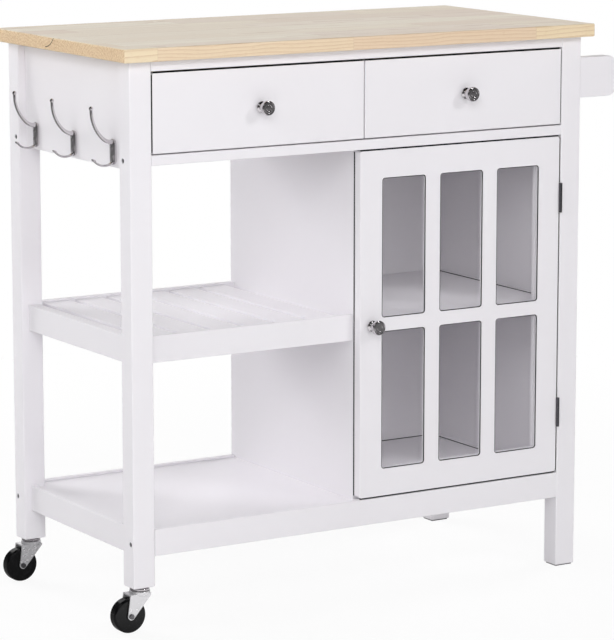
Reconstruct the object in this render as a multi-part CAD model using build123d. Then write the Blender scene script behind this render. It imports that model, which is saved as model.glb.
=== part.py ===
from build123d import *
from math import atan2, degrees
import os

# A free-standing kitchen cart: a solid-wood worktop on a painted frame, two drawers over an
# open bay with two shelves and a glazed cabinet, coat hooks on the left, a towel rail on the
# right, two swivel casters under the left legs and plain feet under the right ones.
# Lengths are in millimetres. X runs left to right, Y front to back and Z up. The frame is laid
# out from the left front corner of its legs, and moved to its own origin at the very end.

# Worktop and frame
worktop_length = 825.0
worktop_depth = 415.0
worktop_thickness = 20.0
worktop_overhang = 15.0
overall_height = 860.0
leg_width = 36.0
leg_depth = 32.0
leg_pad_thickness = 2.0
leg_pad_inset = 3.0

# Boards, rails and shelves
board_thickness = 15.0
rail_thickness = 18.0
rail_height = 40.0
side_recess = 12.0
apron_height = 159.0
drawer_rail_depth = 43.0
low_rail_underside = 113.0
mid_rail_underside = 397.0
mid_rail_setback = 20.0
ledge_width = 8.0
shelf_thickness = 12.0
shelf_drop = 3.0
slat_count = 6
slat_width = 46.0
slat_end_gap = 18.75
side_panel_thickness = 12.0
cabinet_back_thickness = 5.0
cabinet_shelf_level = 414.0
cabinet_shelf_setback = 20.0
loose_shelf_gap = 1.0
shelf_pin_radius = 2.5
shelf_pin_length = 16.0
shelf_pin_hole_depth = 8.0
shelf_pin_inset = 38.0

# Drawers
drawer_opening_height = 121.0
drawer_front_thickness = 18.0
drawer_gap = 2.0
drawer_top_gap = 3.0
drawer_side_thickness = 12.0
drawer_side_height = 85.0
drawer_side_lift = 6.0
drawer_back_gap = 19.0
drawer_bottom_thickness = 4.0
drawer_bottom_lift = 6.0
drawer_bottom_groove_depth = 5.0
runner_width = 10.0
runner_height = 12.0
runner_end_gap = 6.5
runner_lift = 38.0
runner_groove_depth = 7.0
drawer_wall_gap = 4.0
closing_gap = 0.5

# Door
door_thickness = 17.5
door_gap = 2.5
door_stile_width = 39.0
door_rail_width = 42.0
muntin_width = 26.0
crossbar_height = 21.0
muntin_thickness = 6.0
lite_corner_radius = 5.0
lite_columns = 3
lite_rows = 2
glass_thickness = 3.0
glass_margin = 8.0
catch_height = 24.0
catch_depth = 22.0
catch_width = 12.0
catch_drop = 28.0
strike_thickness = 1.2
strike_inset = 1.0

# Hinges
hinge_height = 46.0
hinge_inset = 95.5
hinge_leaf_thickness = 1.0
hinge_leaf_depth = 15.0
hinge_knuckle_radius = 2.5
hinge_pin_radius = 1.2
hinge_pin_stand_off = 2.5
hinge_knuckle_gap = 0.2

# Knobs
knob_base_radius = 8.5
knob_base_height = 1.6
knob_neck_radius = 5.0
knob_neck_height = 8.5
knob_head_radius = 11.2
knob_brim_height = 15.0
knob_length = 25.0
knob_stud_radius = 2.0
knob_stud_length = 12.0

# Casters
caster_height = 67.0
caster_trail = 20.0
wheel_radius = 26.0
wheel_width = 17.5
wheel_shoulder = 3.5
wheel_side_play = 1.2
hub_radius = 6.5
hub_reach = 0.7
fork_thickness = 2.0
fork_eye_radius = 5.5
fork_lip = 1.0
fork_heel = 13.0
fork_heel_height = 3.0
lower_race_radius = 15.5
lower_race_height = 3.5
race_gap = 0.7
upper_race_radius = 14.5
upper_race_height = 3.3
race_rounding = 1.2
stem_flange_radius = 12.0
stem_flange_thickness = 1.5
stem_radius = 4.0
stem_length = 38.0
kingpin_radius = 3.0
kingpin_rivet_radius = 5.0
kingpin_rivet_height = 1.6
axle_radius = 3.0
axle_head_radius = 4.0
axle_head_height = 2.2
axle_head_rounding = 0.8

# Coat hooks
hook_end_distance = 37.5
hook_plate_height = 37.0
hook_plate_width = 15.0
hook_plate_thickness = 3.5
hook_plate_rounding = 1.3
hook_edge_gap = 4.5
hook_root_inset = 4.5
hook_reach = 37.0
hook_rise = 62.0
hook_lower_reach = 32.0
hook_lower_bend_reach = 15.0
hook_lower_bend_drop = 19.5
hook_lower_tip_drop = 12.5
hook_rod_width = 6.0
hook_rod_thickness = 4.0
hook_tip_radius = 3.2
hook_screw_spacing = 12.0
hook_screw_head_radius = 3.2
hook_screw_head_height = 1.6
hook_screw_radius = 1.5
hook_screw_length = 15.0
hook_screw_rounding = 1.0

# Towel rail
bracket_reach = 78.0
bracket_height = 63.0
bracket_thickness = 18.0
bracket_corner_radius = 21.0
bracket_rounding = 1.5
bracket_drop = 33.5
towel_bar_radius = 11.0
towel_bar_seat_depth = 8.0
towel_bar_inset = 31.0

# Frame bolts, sunk in counterbores in the legs
bolt_radius = 2.5
bolt_head_radius = 3.8
bolt_head_height = 4.0
bolt_head_depth = 1.2
bolt_socket_radius = 2.0
bolt_socket_depth = 2.5
bolt_length = 68.0
bracket_bolt_lift = 48.0

# Rounding and clearances
leg_rounding = 2.0
board_rounding = 1.0
worktop_rounding = 2.0
door_corner_radius = 4.0
knob_rounding = 0.8
fit_clearance = 0.3
running_clearance = 0.05

# Sizes that follow from the ones above
frame_width = worktop_length - 2 * worktop_overhang
frame_depth = worktop_depth - 2 * worktop_overhang
leg_top = overall_height - worktop_thickness
inner_left = leg_width
inner_right = frame_width - leg_width
inner_front = leg_depth
inner_back = frame_depth - leg_depth
rear_rail_face = frame_depth - rail_thickness
drawer_rail_top = leg_top - board_thickness - drawer_opening_height
drawer_rail_underside = drawer_rail_top - board_thickness
partition_left = (frame_width - board_thickness) / 2
partition_right = partition_left + board_thickness
low_rail_top = low_rail_underside + rail_height
mid_rail_top = mid_rail_underside + rail_height
low_shelf_top = low_rail_top - shelf_drop
mid_shelf_top = mid_rail_top - shelf_drop
ledge_drop = shelf_thickness + shelf_drop
cabinet_wall = frame_width - side_recess - side_panel_thickness
cabinet_back_face = inner_back
drawer_box_back = rear_rail_face - drawer_back_gap
runner_bottom = drawer_rail_top + drawer_gap + drawer_side_lift + runner_lift
door_left = partition_left + closing_gap
door_right = inner_right - door_gap
door_bottom = low_rail_top + door_gap
door_top = drawer_rail_underside - door_gap
leg_centre_x = leg_width / 2
leg_centre_y = leg_depth / 2
apron_bottom = leg_top - apron_height
hook_pitch = frame_depth / 2 - inner_front - hook_end_distance


def block(x0, x1, y0, y1, z0, z1):
    """A sharp-edged block between two opposite corners."""
    return Pos((x0 + x1) / 2, (y0 + y1) / 2, (z0 + z1) / 2) * Box(x1 - x0, y1 - y0, z1 - z0)


def board(x0, x1, y0, y1, z0, z1, rounding=board_rounding):
    """A board between two opposite corners, with every edge eased."""
    return fillet(block(x0, x1, y0, y1, z0, z1).edges(), rounding)


def rod(radius, length, start, direction):
    """A round rod or a drill of the given length, from its start along a direction."""
    centred_on_start = (Align.CENTER, Align.CENTER, Align.MIN)
    return Plane(origin=start, z_dir=direction) * Cylinder(radius, length, align=centred_on_start)


def worktop():
    """The wooden top, with its long and short edges eased."""
    low = -worktop_overhang
    right = frame_width + worktop_overhang
    back = frame_depth + worktop_overhang
    return board(low, right, low, back, leg_top, overall_height, worktop_rounding)


def rail_bolt_places():
    """Height and distance from the nearer face, front or back, of the two bolts in each leg."""
    upper = (drawer_rail_underside + board_thickness / 2, drawer_rail_depth / 2)
    lower = (low_rail_underside + rail_height / 2, rail_thickness / 2)
    return [upper, lower]


def frame_bolt_axes():
    """Start and direction of every frame bolt: four a side, and one in each towel bracket."""
    axes = []
    for z, inset in rail_bolt_places():
        for y in (inset, frame_depth - inset):
            axes.append(((0, y, z), (1, 0, 0)))
            axes.append(((frame_width, y, z), (-1, 0, 0)))
    z = leg_top - bracket_drop - bracket_height + bracket_bolt_lift
    for y in (leg_centre_y, frame_depth - leg_centre_y):
        axes.append(((inner_right, y, z), (1, 0, 0)))
    return axes


def bolt_hole(start, direction):
    """Counterbore and clearance hole of one frame bolt, from the leg's face inwards."""
    counterbore = rod(bolt_head_radius, bolt_head_depth + bolt_head_height, start, direction)
    depth = bolt_head_depth + bolt_head_height + bolt_length
    return counterbore + rod(bolt_radius, depth, start, direction)


def drill_bolts(piece):
    """The same piece with a hole where each frame bolt passes through it."""
    for start, direction in frame_bolt_axes():
        piece = piece - bolt_hole(start, direction)
    return piece


def frame_bolts():
    """Socket-head bolts with their heads just below the legs' faces."""
    bolts = []
    for start, direction in frame_bolt_axes():
        face = Vector(*start) + Vector(*direction) * bolt_head_depth
        head = rod(bolt_head_radius, bolt_head_height, face, direction)
        shank = rod(bolt_radius, bolt_head_height + bolt_length, face, direction)
        hexagon = RegularPolygon(bolt_socket_radius, 6)
        socket = Plane(origin=face, z_dir=direction) * extrude(hexagon, bolt_socket_depth)
        bolts.append(head + shank - socket)
    return bolts


def leg(left, front):
    """One leg: the left ones stop at the casters, the right ones stand on pads."""
    x = 0 if left else inner_right
    y = 0 if front else inner_back
    foot = caster_height if left else leg_pad_thickness
    solid = board(x, x + leg_width, y, y + leg_depth, foot, leg_top, leg_rounding)
    if left:
        centre = (leg_centre_x, y + leg_centre_y, caster_height)
        solid = solid - rod(stem_radius, stem_length, centre, (0, 0, 1))
    return drill_bolts(solid)


def leg_pads():
    """Felt pads under the two fixed legs."""
    pads = []
    for y in (0, inner_back):
        pads.append(block(inner_right + leg_pad_inset, frame_width - leg_pad_inset, y + leg_pad_inset,
                          y + leg_depth - leg_pad_inset, 0, leg_pad_thickness))
    return pads


def cross_rail(x_end, y, z, ledge_side):
    """A rail along X between the legs or up to x_end, with a ledge that carries a shelf."""
    solid = board(inner_left, x_end, y, y + rail_thickness, z, z + rail_height)
    ledge_y = y + rail_thickness - ledge_width if ledge_side == "back" else y
    top = z + rail_height
    return solid - block(inner_left, x_end, ledge_y, ledge_y + ledge_width, top - ledge_drop, top)


def left_rail(z):
    """A rail between the two left legs, set back from their outer faces."""
    return board(side_recess, side_recess + rail_thickness, inner_front, inner_back, z, z + rail_height)


def bottom_left_rail():
    """The low left rail, which also carries the end of the bottom shelf on a ledge."""
    inner_face = side_recess + rail_thickness
    ledge = block(inner_face - ledge_width, inner_face, inner_front, inner_back,
                  low_rail_top - ledge_drop, low_rail_top)
    return left_rail(low_rail_underside) - ledge


def bottom_shelf():
    """The solid bottom shelf: full width, on the ledges, notched around the left legs."""
    left = side_recess + rail_thickness - ledge_width + fit_clearance
    right = inner_right - fit_clearance
    front = rail_thickness - ledge_width + fit_clearance
    back = rear_rail_face + ledge_width - fit_clearance
    bottom = low_shelf_top - shelf_thickness
    panel = block(left, right, front, back, bottom, low_shelf_top)
    notch_x = leg_width + fit_clearance
    for y0, y1 in ((front, inner_front + fit_clearance), (inner_back - fit_clearance, back)):
        panel = panel - block(left, notch_x, y0, y1, bottom, low_shelf_top)
    return panel


def mid_shelf_slats():
    """Slats from front to back on the mid shelf's ledges, centred in the open bay."""
    first = side_recess + rail_thickness + slat_end_gap
    last = partition_left - slat_end_gap - slat_width
    pitch = (last - first) / (slat_count - 1)
    front = mid_rail_setback + rail_thickness - ledge_width + fit_clearance
    back = rear_rail_face + ledge_width - fit_clearance
    slats = []
    for index in range(slat_count):
        x = first + index * pitch
        slats.append(board(x, x + slat_width, front, back, mid_shelf_top - shelf_thickness, mid_shelf_top))
    return slats


def partition():
    """The wall between the open bay and the cabinet, notched over the rear bottom rail."""
    x0, x1 = partition_left, partition_right
    front = door_thickness + closing_gap
    notch_front = rear_rail_face + ledge_width - fit_clearance
    solid = block(x0, x1, front, frame_depth, low_shelf_top, drawer_rail_underside)
    solid = solid - block(x0, x1, notch_front, frame_depth, low_shelf_top, low_rail_top)
    for pin in shelf_pin_starts("left"):
        solid = solid - rod(shelf_pin_radius, shelf_pin_hole_depth, pin, (-1, 0, 0))
    return solid


def right_side_panel():
    """The cabinet's outer wall, set back between the two right legs, with a thicker foot."""
    outer_face = frame_width - side_recess
    solid = board(cabinet_wall, outer_face, inner_front, inner_back, low_rail_underside, leg_top)
    solid = solid + board(inner_right, outer_face, inner_front, inner_back, low_rail_underside, low_shelf_top)
    for pin in shelf_pin_starts("right"):
        solid = solid - rod(shelf_pin_radius, shelf_pin_hole_depth, pin, (1, 0, 0))
    return solid


def shelf_pin_starts(side):
    """Where the two shelf pins of one side leave the wall."""
    x = partition_right if side == "left" else cabinet_wall
    z = cabinet_shelf_level - shelf_pin_radius
    front = cabinet_shelf_setback + shelf_pin_inset
    return [(x, front, z), (x, cabinet_back_face - shelf_pin_inset, z)]


def shelf_pins():
    """Four round pins, half in the walls and half under the cabinet shelf."""
    pins = []
    for side, outwards in (("left", 1), ("right", -1)):
        for x, y, z in shelf_pin_starts(side):
            start = (x - outwards * shelf_pin_hole_depth, y, z)
            pins.append(rod(shelf_pin_radius, shelf_pin_length, start, (outwards, 0, 0)))
    return pins


def cabinet_shelf():
    """The loose shelf in the cabinet, on its four pins and notched around the right front leg."""
    x0 = partition_right + loose_shelf_gap
    x1 = cabinet_wall - loose_shelf_gap
    back = cabinet_back_face - loose_shelf_gap
    bottom, top = cabinet_shelf_level, cabinet_shelf_level + board_thickness
    shelf = board(x0, x1, cabinet_shelf_setback, back, bottom, top)
    notch_x, notch_back = inner_right - loose_shelf_gap, inner_front + loose_shelf_gap
    return shelf - block(notch_x, x1, cabinet_shelf_setback, notch_back, bottom, top)


def drawer_zone(side):
    """The left and right walls of one drawer's space."""
    return (inner_left, partition_left) if side == "left" else (partition_right, inner_right)


def runner_strip(wall_x, inwards):
    """One drawer runner: it stands inwards from the wall into the drawer side's groove."""
    x0, x1 = sorted((wall_x, wall_x + inwards * runner_width))
    y0 = drawer_front_thickness + closing_gap
    y1 = rear_rail_face - runner_end_gap
    return block(x0, x1, y0, y1, runner_bottom, runner_bottom + runner_height)


def drawer_runners():
    """The four hardwood runners that the drawers slide on."""
    strips = []
    for side in ("left", "right"):
        wall_left, wall_right = drawer_zone(side)
        strips.append(runner_strip(wall_left, 1))
        strips.append(runner_strip(wall_right, -1))
    return strips


def drawer_front_span(side):
    """The left and right edges of one drawer front, which share one gap in the middle."""
    middle = frame_width / 2
    if side == "left":
        return inner_left + drawer_gap, middle - drawer_gap / 2
    return middle + drawer_gap / 2, inner_right - drawer_gap


def drawer_floor():
    """Height of the underside of a drawer's sides."""
    return drawer_rail_top + drawer_gap + drawer_side_lift


def drawer_front(side):
    """An inset front, grooved behind for the bottom and drilled for its knob."""
    x0, x1 = drawer_front_span(side)
    z0 = drawer_rail_top + drawer_gap
    z1 = leg_top - board_thickness - drawer_top_gap
    solid = board(x0, x1, 0, drawer_front_thickness, z0, z1)
    x, z = knob_place(side)
    solid = solid - rod(knob_stud_radius, knob_stud_length, (x, 0, z), (0, 1, 0))
    return solid - drawer_bottom(side)


def drawer_sides(side):
    """The two sides of a drawer box, grooved outside for the runners and inside for the bottom."""
    wall_left, wall_right = drawer_zone(side)
    z0 = drawer_floor()
    groove_z0 = runner_bottom - fit_clearance
    groove_z1 = runner_bottom + runner_height + fit_clearance
    boards = []
    for wall, inwards in ((wall_left, 1), (wall_right, -1)):
        outer = wall + inwards * drawer_wall_gap
        x0, x1 = sorted((outer, outer + inwards * drawer_side_thickness))
        g0, g1 = sorted((outer, outer + inwards * runner_groove_depth))
        y0, y1 = drawer_front_thickness, drawer_box_back
        side_board = board(x0, x1, y0, y1, z0, z0 + drawer_side_height)
        side_board = side_board - block(g0, g1, y0, y1, groove_z0, groove_z1)
        boards.append(side_board - drawer_bottom(side))
    return boards


def drawer_inner_span(side):
    """The left and right inner faces of a drawer box."""
    wall_left, wall_right = drawer_zone(side)
    inset = drawer_wall_gap + drawer_side_thickness
    return wall_left + inset, wall_right - inset


def drawer_bottom(side):
    """The thin bottom panel, in grooves in the sides and the front, under the back."""
    x0, x1 = drawer_inner_span(side)
    z0 = drawer_floor() + drawer_bottom_lift
    into = drawer_bottom_groove_depth
    y0 = drawer_front_thickness - into
    return block(x0 - into, x1 + into, y0, drawer_box_back, z0, z0 + drawer_bottom_thickness)


def drawer_back(side):
    """The back board between the sides, standing on the bottom panel."""
    x0, x1 = drawer_inner_span(side)
    y0 = drawer_box_back - drawer_side_thickness
    z0 = drawer_floor() + drawer_bottom_lift + drawer_bottom_thickness
    return block(x0, x1, y0, drawer_box_back, z0, drawer_floor() + drawer_side_height)


def knob_place(owner):
    """Centre of a knob on the front of a drawer or, on its free stile, of the door."""
    if owner == "door":
        return door_left + door_stile_width / 2, (door_bottom + door_top) / 2
    x0, x1 = drawer_front_span(owner)
    z0 = drawer_rail_top + drawer_gap
    z1 = leg_top - board_thickness - drawer_top_gap
    return (x0 + x1) / 2, (z0 + z1) / 2


def knob(owner):
    """A turned metal knob: flared foot, waisted neck and domed head, with its stud in the wood."""
    foot = (knob_base_radius, knob_base_height)
    neck = (knob_neck_radius, knob_neck_height)
    brim = (knob_head_radius, knob_brim_height)
    top = (0, knob_length)
    outline = Polyline(top, (0, 0), (knob_base_radius, 0), foot)
    outline += TangentArc(neck, foot, tangent=(0, -1))
    outline += TangentArc(neck, brim, tangent=(0, 1))
    outline += TangentArc(top, brim, tangent=(1, 0))
    profile = make_face(outline)
    profile = fillet(profile.vertices().sort_by(Axis.X)[-1], knob_rounding)
    turned = revolve(profile, Axis.Y)
    turned = turned + rod(knob_stud_radius, knob_stud_length, (0, 0, 0), (0, -1, 0))
    x, z = knob_place(owner)
    return Pos(x, 0, z) * Rot(0, 0, 180) * turned


def lite_size():
    """Width and height of one glazed opening."""
    width = door_right - door_left - 2 * door_stile_width - (lite_columns - 1) * muntin_width
    height = door_top - door_bottom - 2 * door_rail_width - (lite_rows - 1) * crossbar_height
    return width / lite_columns, height / lite_rows


def glass_recess():
    """Left, right, bottom and top of the recess behind the lites that holds the glass."""
    return (door_left + door_stile_width - glass_margin, door_right - door_stile_width + glass_margin,
            door_bottom + door_rail_width - glass_margin, door_top - door_rail_width + glass_margin)


def door_panel():
    """The door: stiles, rails and thin glazing bars in one panel, rebated behind for the glass."""
    solid = block(door_left, door_right, 0, door_thickness, door_bottom, door_top)
    solid = fillet(solid.edges().filter_by(Axis.Y), door_corner_radius)
    solid = fillet(solid.faces().sort_by(Axis.Y)[0].edges(), board_rounding)
    width, height = lite_size()
    for column in range(lite_columns):
        for row in range(lite_rows):
            x = door_left + door_stile_width + column * (width + muntin_width) + width / 2
            z = door_bottom + door_rail_width + row * (height + crossbar_height) + height / 2
            lite = Box(width, 2 * door_thickness, height)
            lite = fillet(lite.edges().filter_by(Axis.Y), lite_corner_radius)
            solid = solid - Pos(x, door_thickness / 2, z) * lite
    x0, x1, z0, z1 = glass_recess()
    solid = solid - block(x0, x1, muntin_thickness, door_thickness, z0, z1)
    x, z = knob_place("door")
    return solid - rod(knob_stud_radius, knob_stud_length, (x, 0, z), (0, 1, 0))


def door_glass():
    """One pane behind the glazing bars."""
    x0, x1, z0, z1 = glass_recess()
    play = fit_clearance
    back = muntin_thickness + glass_thickness
    return block(x0 + play, x1 - play, muntin_thickness, back, z0 + play, z1 - play)


def glass_beads():
    """Four strips that hold the pane in its recess, flush with the back of the door."""
    x0, x1, z0, z1 = glass_recess()
    y0 = muntin_thickness + glass_thickness
    bead = glass_margin
    uprights = [block(x, x + bead, y0, door_thickness, z0, z1) for x in (x0, x1 - bead)]
    level = [block(x0 + bead, x1 - bead, y0, door_thickness, z, z + bead) for z in (z0, z1 - bead)]
    return uprights + level


def magnetic_catch():
    """The catch on the partition, just behind the closed door's strike plate."""
    z1 = drawer_rail_underside - catch_drop
    y0 = door_thickness + strike_thickness + fit_clearance
    return board(partition_right, partition_right + catch_width, y0, y0 + catch_depth, z1 - catch_height, z1)


def catch_strike():
    """The steel plate behind the door that the catch holds."""
    z1 = drawer_rail_underside - catch_drop
    return block(partition_right + strike_inset, partition_right + catch_width - strike_inset, door_thickness,
                 door_thickness + strike_thickness, z1 - catch_height, z1)


def hinge_axis():
    """Where the hinge pins stand: in the gap beside the door, a little proud of its front."""
    return (door_right + inner_right) / 2, -hinge_pin_stand_off


def hinge_bottoms():
    """Height of the lower end of each hinge."""
    half = hinge_height / 2
    return [door_bottom + hinge_inset - half, door_top - hinge_inset - half]


def hinge_knuckle(z0, z1):
    """One knuckle of a hinge, bored for its pin."""
    x, y = hinge_axis()
    tube = rod(hinge_knuckle_radius, z1 - z0, (x, y, z0), (0, 0, 1))
    return tube - rod(hinge_pin_radius + running_clearance, z1 - z0, (x, y, z0), (0, 0, 1))


def hinge_leaf(face_x, outwards, z0, spans):
    """A flat leaf on one side of the gap, with the knuckles that belong to it."""
    x, y = hinge_axis()
    x0, x1 = sorted((face_x, face_x + outwards * hinge_leaf_thickness))
    leaf = block(x0, x1, fit_clearance, hinge_leaf_depth, z0, z0 + hinge_height)
    web_start = y + (hinge_pin_radius + hinge_knuckle_radius) / 2
    for low, high in spans:
        leaf = leaf + hinge_knuckle(z0 + low, z0 + high)
        leaf = leaf + block(x0, x1, web_start, fit_clearance, z0 + low, z0 + high)
    return leaf


def hinge_leaves(owner):
    """Both leaves on the frame, with outer knuckles, or both on the door, with the middle one."""
    third = hinge_height / 3
    leaves = []
    for z0 in hinge_bottoms():
        if owner == "frame":
            spans = [(0, third - hinge_knuckle_gap), (2 * third + hinge_knuckle_gap, hinge_height)]
            leaves.append(hinge_leaf(inner_right, -1, z0, spans))
        else:
            leaves.append(hinge_leaf(door_right, 1, z0, [(third, 2 * third)]))
    return leaves


def hinge_pins():
    """The two hinge pins."""
    x, y = hinge_axis()
    return [rod(hinge_pin_radius, hinge_height, (x, y, z0), (0, 0, 1)) for z0 in hinge_bottoms()]


def caster_centre(front):
    """Where a caster's swivel axis stands: under the middle of its leg."""
    return leg_centre_x, leg_centre_y if front else frame_depth - leg_centre_y


def caster_levels():
    """Heights of the fork's underside, the lower race's top and the upper race's underside."""
    upper_race = caster_height - stem_flange_thickness - upper_race_height
    lower_race_top = upper_race - race_gap
    return lower_race_top - lower_race_height - fork_thickness, lower_race_top, upper_race


def caster_stem(front):
    """The fixed half of a caster: stem in the leg, flange, upper race and kingpin."""
    x, y = caster_centre(front)
    fork_underside, _, upper_race = caster_levels()
    rivet_top = fork_underside - fit_clearance
    up = (0, 0, 1)
    solid = rod(stem_radius, stem_length, (x, y, caster_height), up)
    solid = solid + rod(stem_flange_radius, caster_height - upper_race, (x, y, upper_race), up)
    race = rod(upper_race_radius, upper_race_height, (x, y, upper_race), up)
    solid = solid + fillet(race.edges().filter_by(GeomType.CIRCLE), race_rounding)
    solid = solid + rod(kingpin_radius, upper_race - rivet_top, (x, y, rivet_top), up)
    rivet = (x, y, rivet_top - kingpin_rivet_height)
    return solid + rod(kingpin_rivet_radius, kingpin_rivet_height, rivet, up)


def fork_cheek(x, z_top):
    """Outline of one side of the fork, in the XZ plane: a web that narrows to the axle's eye."""
    eye = Pos(x - caster_trail, wheel_radius) * Circle(fork_eye_radius)
    front = x - caster_trail - fork_lip
    heel = x + fork_heel
    shoulder = Rectangle(heel - front, fork_heel_height)
    shoulder = Pos((front + heel) / 2, z_top - fork_heel_height / 2) * shoulder
    return make_hull(eye.edges() + shoulder.edges())


def fork_half_width():
    """Half the fork's width, from its middle to the outside of a cheek."""
    return wheel_width / 2 + wheel_side_play + fork_thickness


def caster_fork(front):
    """The swivelling fork: top plate, lower race and two cheeks that carry the axle."""
    x, y = caster_centre(front)
    fork_underside, race_top, _ = caster_levels()
    half = fork_half_width()
    plate_length = caster_trail + fork_lip
    plate = Pos(x, y) * Circle(lower_race_radius)
    plate = plate + Pos(x - plate_length / 2, y) * Rectangle(plate_length, 2 * half)
    solid = Pos(0, 0, fork_underside) * extrude(plate, fork_thickness)
    race = rod(lower_race_radius, lower_race_height, (x, y, race_top - lower_race_height), (0, 0, 1))
    solid = solid + fillet(race.edges().sort_by(Axis.Z)[-1], race_rounding)
    cheek = fork_cheek(x, fork_underside + fork_thickness)
    for cheek_y in (y - half + fork_thickness, y + half):
        side = Plane(origin=(0, cheek_y, 0), x_dir=(1, 0, 0), z_dir=(0, -1, 0))
        solid = solid + side * extrude(cheek, fork_thickness)
    bore = kingpin_radius + running_clearance
    solid = solid - rod(bore, race_top - fork_underside, (x, y, fork_underside), (0, 0, 1))
    return solid - rod(axle_radius, 2 * half, (x - caster_trail, y - half, wheel_radius), (0, 1, 0))


def caster_axle(front):
    """The axle bolt, with a head outside one cheek and a nut outside the other."""
    x, y = caster_centre(front)
    half = fork_half_width()
    axle_x = x - caster_trail
    solid = rod(axle_radius, 2 * half, (axle_x, y - half, wheel_radius), (0, 1, 0))
    head = rod(axle_head_radius, axle_head_height, (axle_x, y - half, wheel_radius), (0, -1, 0))
    head = fillet(head.edges().sort_by(Axis.Y)[0], axle_head_rounding)
    nut_plane = Plane(origin=(axle_x, y + half, wheel_radius), x_dir=(1, 0, 0), z_dir=(0, 1, 0))
    nut = nut_plane * extrude(RegularPolygon(axle_head_radius, 6), axle_head_height)
    return solid + head + nut


def caster_wheel(front):
    """A solid wheel with rounded shoulders and a raised hub, bored to run on its axle."""
    x, y = caster_centre(front)
    centre = (x - caster_trail, wheel_radius)
    along = (0, 1, 0)
    start = y - wheel_width / 2
    tread = rod(wheel_radius, wheel_width, (centre[0], start, centre[1]), along)
    solid = fillet(tread.edges().filter_by(GeomType.CIRCLE), wheel_shoulder)
    hub_width = wheel_width + 2 * hub_reach
    solid = solid + rod(hub_radius, hub_width, (centre[0], start - hub_reach, centre[1]), along)
    bore = axle_radius + running_clearance
    return solid - rod(bore, hub_width, (centre[0], start - hub_reach, centre[1]), along)


def hook_centre(index):
    """Middle of the back of a hook's plate, on the apron; index -1 is the front hook."""
    z = apron_bottom + hook_edge_gap + hook_plate_height / 2
    return side_recess, frame_depth / 2 + index * hook_pitch, z


def hook_screw_places(index):
    """Where the two screws of a hook go through its plate."""
    x, y, z = hook_centre(index)
    half = hook_screw_spacing / 2
    return [(x - hook_plate_thickness, y, z + offset) for offset in (-half, half)]


def hook_prong(path):
    """A flattened rod along a path in the XZ plane, ending in a rounded tip."""
    profile = Ellipse(hook_rod_width / 2, hook_rod_thickness / 2)
    section = Plane(origin=path @ 0, z_dir=path % 0, x_dir=(0, 1, 0)) * profile
    return sweep(section, path=path) + Pos(path @ 1) * Sphere(hook_tip_radius)


def upper_prong_path(root_x, root_z):
    """From the plate outwards and up to the tip: two arcs that turn a quarter between them."""
    across = hook_reach + root_x
    up = hook_rise - root_z
    first_radius = across ** 2 / up
    last_radius = (across ** 2 + up ** 2 - 2 * up * first_radius) / (2 * (across - first_radius))
    turn = degrees(atan2(last_radius - across, up - first_radius))
    first = JernArc((root_x, root_z), (-1, 0), first_radius, -turn)
    last = JernArc(first @ 1, first % 1, last_radius, turn - 90)
    return Plane.XZ * Wire([first.edge(), last.edge()])


def lower_prong_path(root_x, root_z):
    """From the plate outwards, down through the bend and up again to the tip: one arc."""
    bend = (-hook_lower_bend_reach, -hook_lower_bend_drop)
    tip = (-hook_lower_reach, -hook_lower_tip_drop)
    return Plane.XZ * Wire([ThreePointArc((root_x, root_z), bend, tip).edge()])


def coat_hook(index):
    """A double hook: a plate with a long upper prong and a short turned-up lower one."""
    x, y, z = hook_centre(index)
    facing_left = Plane(origin=(0, 0, 0), x_dir=(0, 0, 1), z_dir=(-1, 0, 0))
    outline = facing_left * SlotOverall(hook_plate_height, hook_plate_width)
    plate = extrude(outline, hook_plate_thickness)
    plate = fillet(plate.faces().sort_by(Axis.X)[0].edges(), hook_plate_rounding)
    root_x = -hook_plate_thickness / 2
    root_z = hook_plate_height / 2 - hook_root_inset
    upper = hook_prong(upper_prong_path(root_x, root_z))
    lower = hook_prong(lower_prong_path(root_x, -root_z))
    hook = Pos(x, y, z) * (plate + upper + lower)
    for place in hook_screw_places(index):
        hook = hook - rod(hook_screw_radius, hook_plate_thickness, place, (1, 0, 0))
    return hook


def hook_screws():
    """Round-head screws through the hooks' plates into the apron."""
    screws = []
    for index in (-1, 0, 1):
        for place in hook_screw_places(index):
            shank = rod(hook_screw_radius, hook_screw_length, place, (1, 0, 0))
            head = rod(hook_screw_head_radius, hook_screw_head_height, place, (-1, 0, 0))
            screws.append(shank + fillet(head.edges().sort_by(Axis.X)[0], hook_screw_rounding))
    return screws


def left_apron():
    """The deep board under the worktop on the left, drilled for the hooks' screws."""
    inner_face = side_recess + rail_thickness
    solid = board(side_recess, inner_face, inner_front, inner_back, apron_bottom, leg_top)
    for screw in hook_screws():
        solid = solid - screw
    return solid


def bracket_levels():
    """Bottom and top of the towel brackets."""
    top = leg_top - bracket_drop
    return top - bracket_height, top


def towel_bracket(y_centre):
    """A rounded board standing out from a right leg, with a blind seat for the bar."""
    z0, z1 = bracket_levels()
    x1 = frame_width + bracket_reach
    y0 = y_centre - bracket_thickness / 2
    solid = block(frame_width, x1, y0, y0 + bracket_thickness, z0, z1)
    outer_corners = solid.edges().filter_by(Axis.Y).sort_by(Axis.X)[-2:]
    solid = fillet(outer_corners, bracket_corner_radius)
    faces = solid.faces().sort_by(Axis.Y)
    solid = fillet(faces[0].edges() + faces[-1].edges(), bracket_rounding)
    seat_y = y0 + bracket_thickness - towel_bar_seat_depth if y_centre < frame_depth / 2 else y0
    bar_end = (x1 - towel_bar_inset, seat_y, (z0 + z1) / 2)
    seat = rod(towel_bar_radius, towel_bar_seat_depth, bar_end, (0, 1, 0))
    return drill_bolts(solid - seat)


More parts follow.
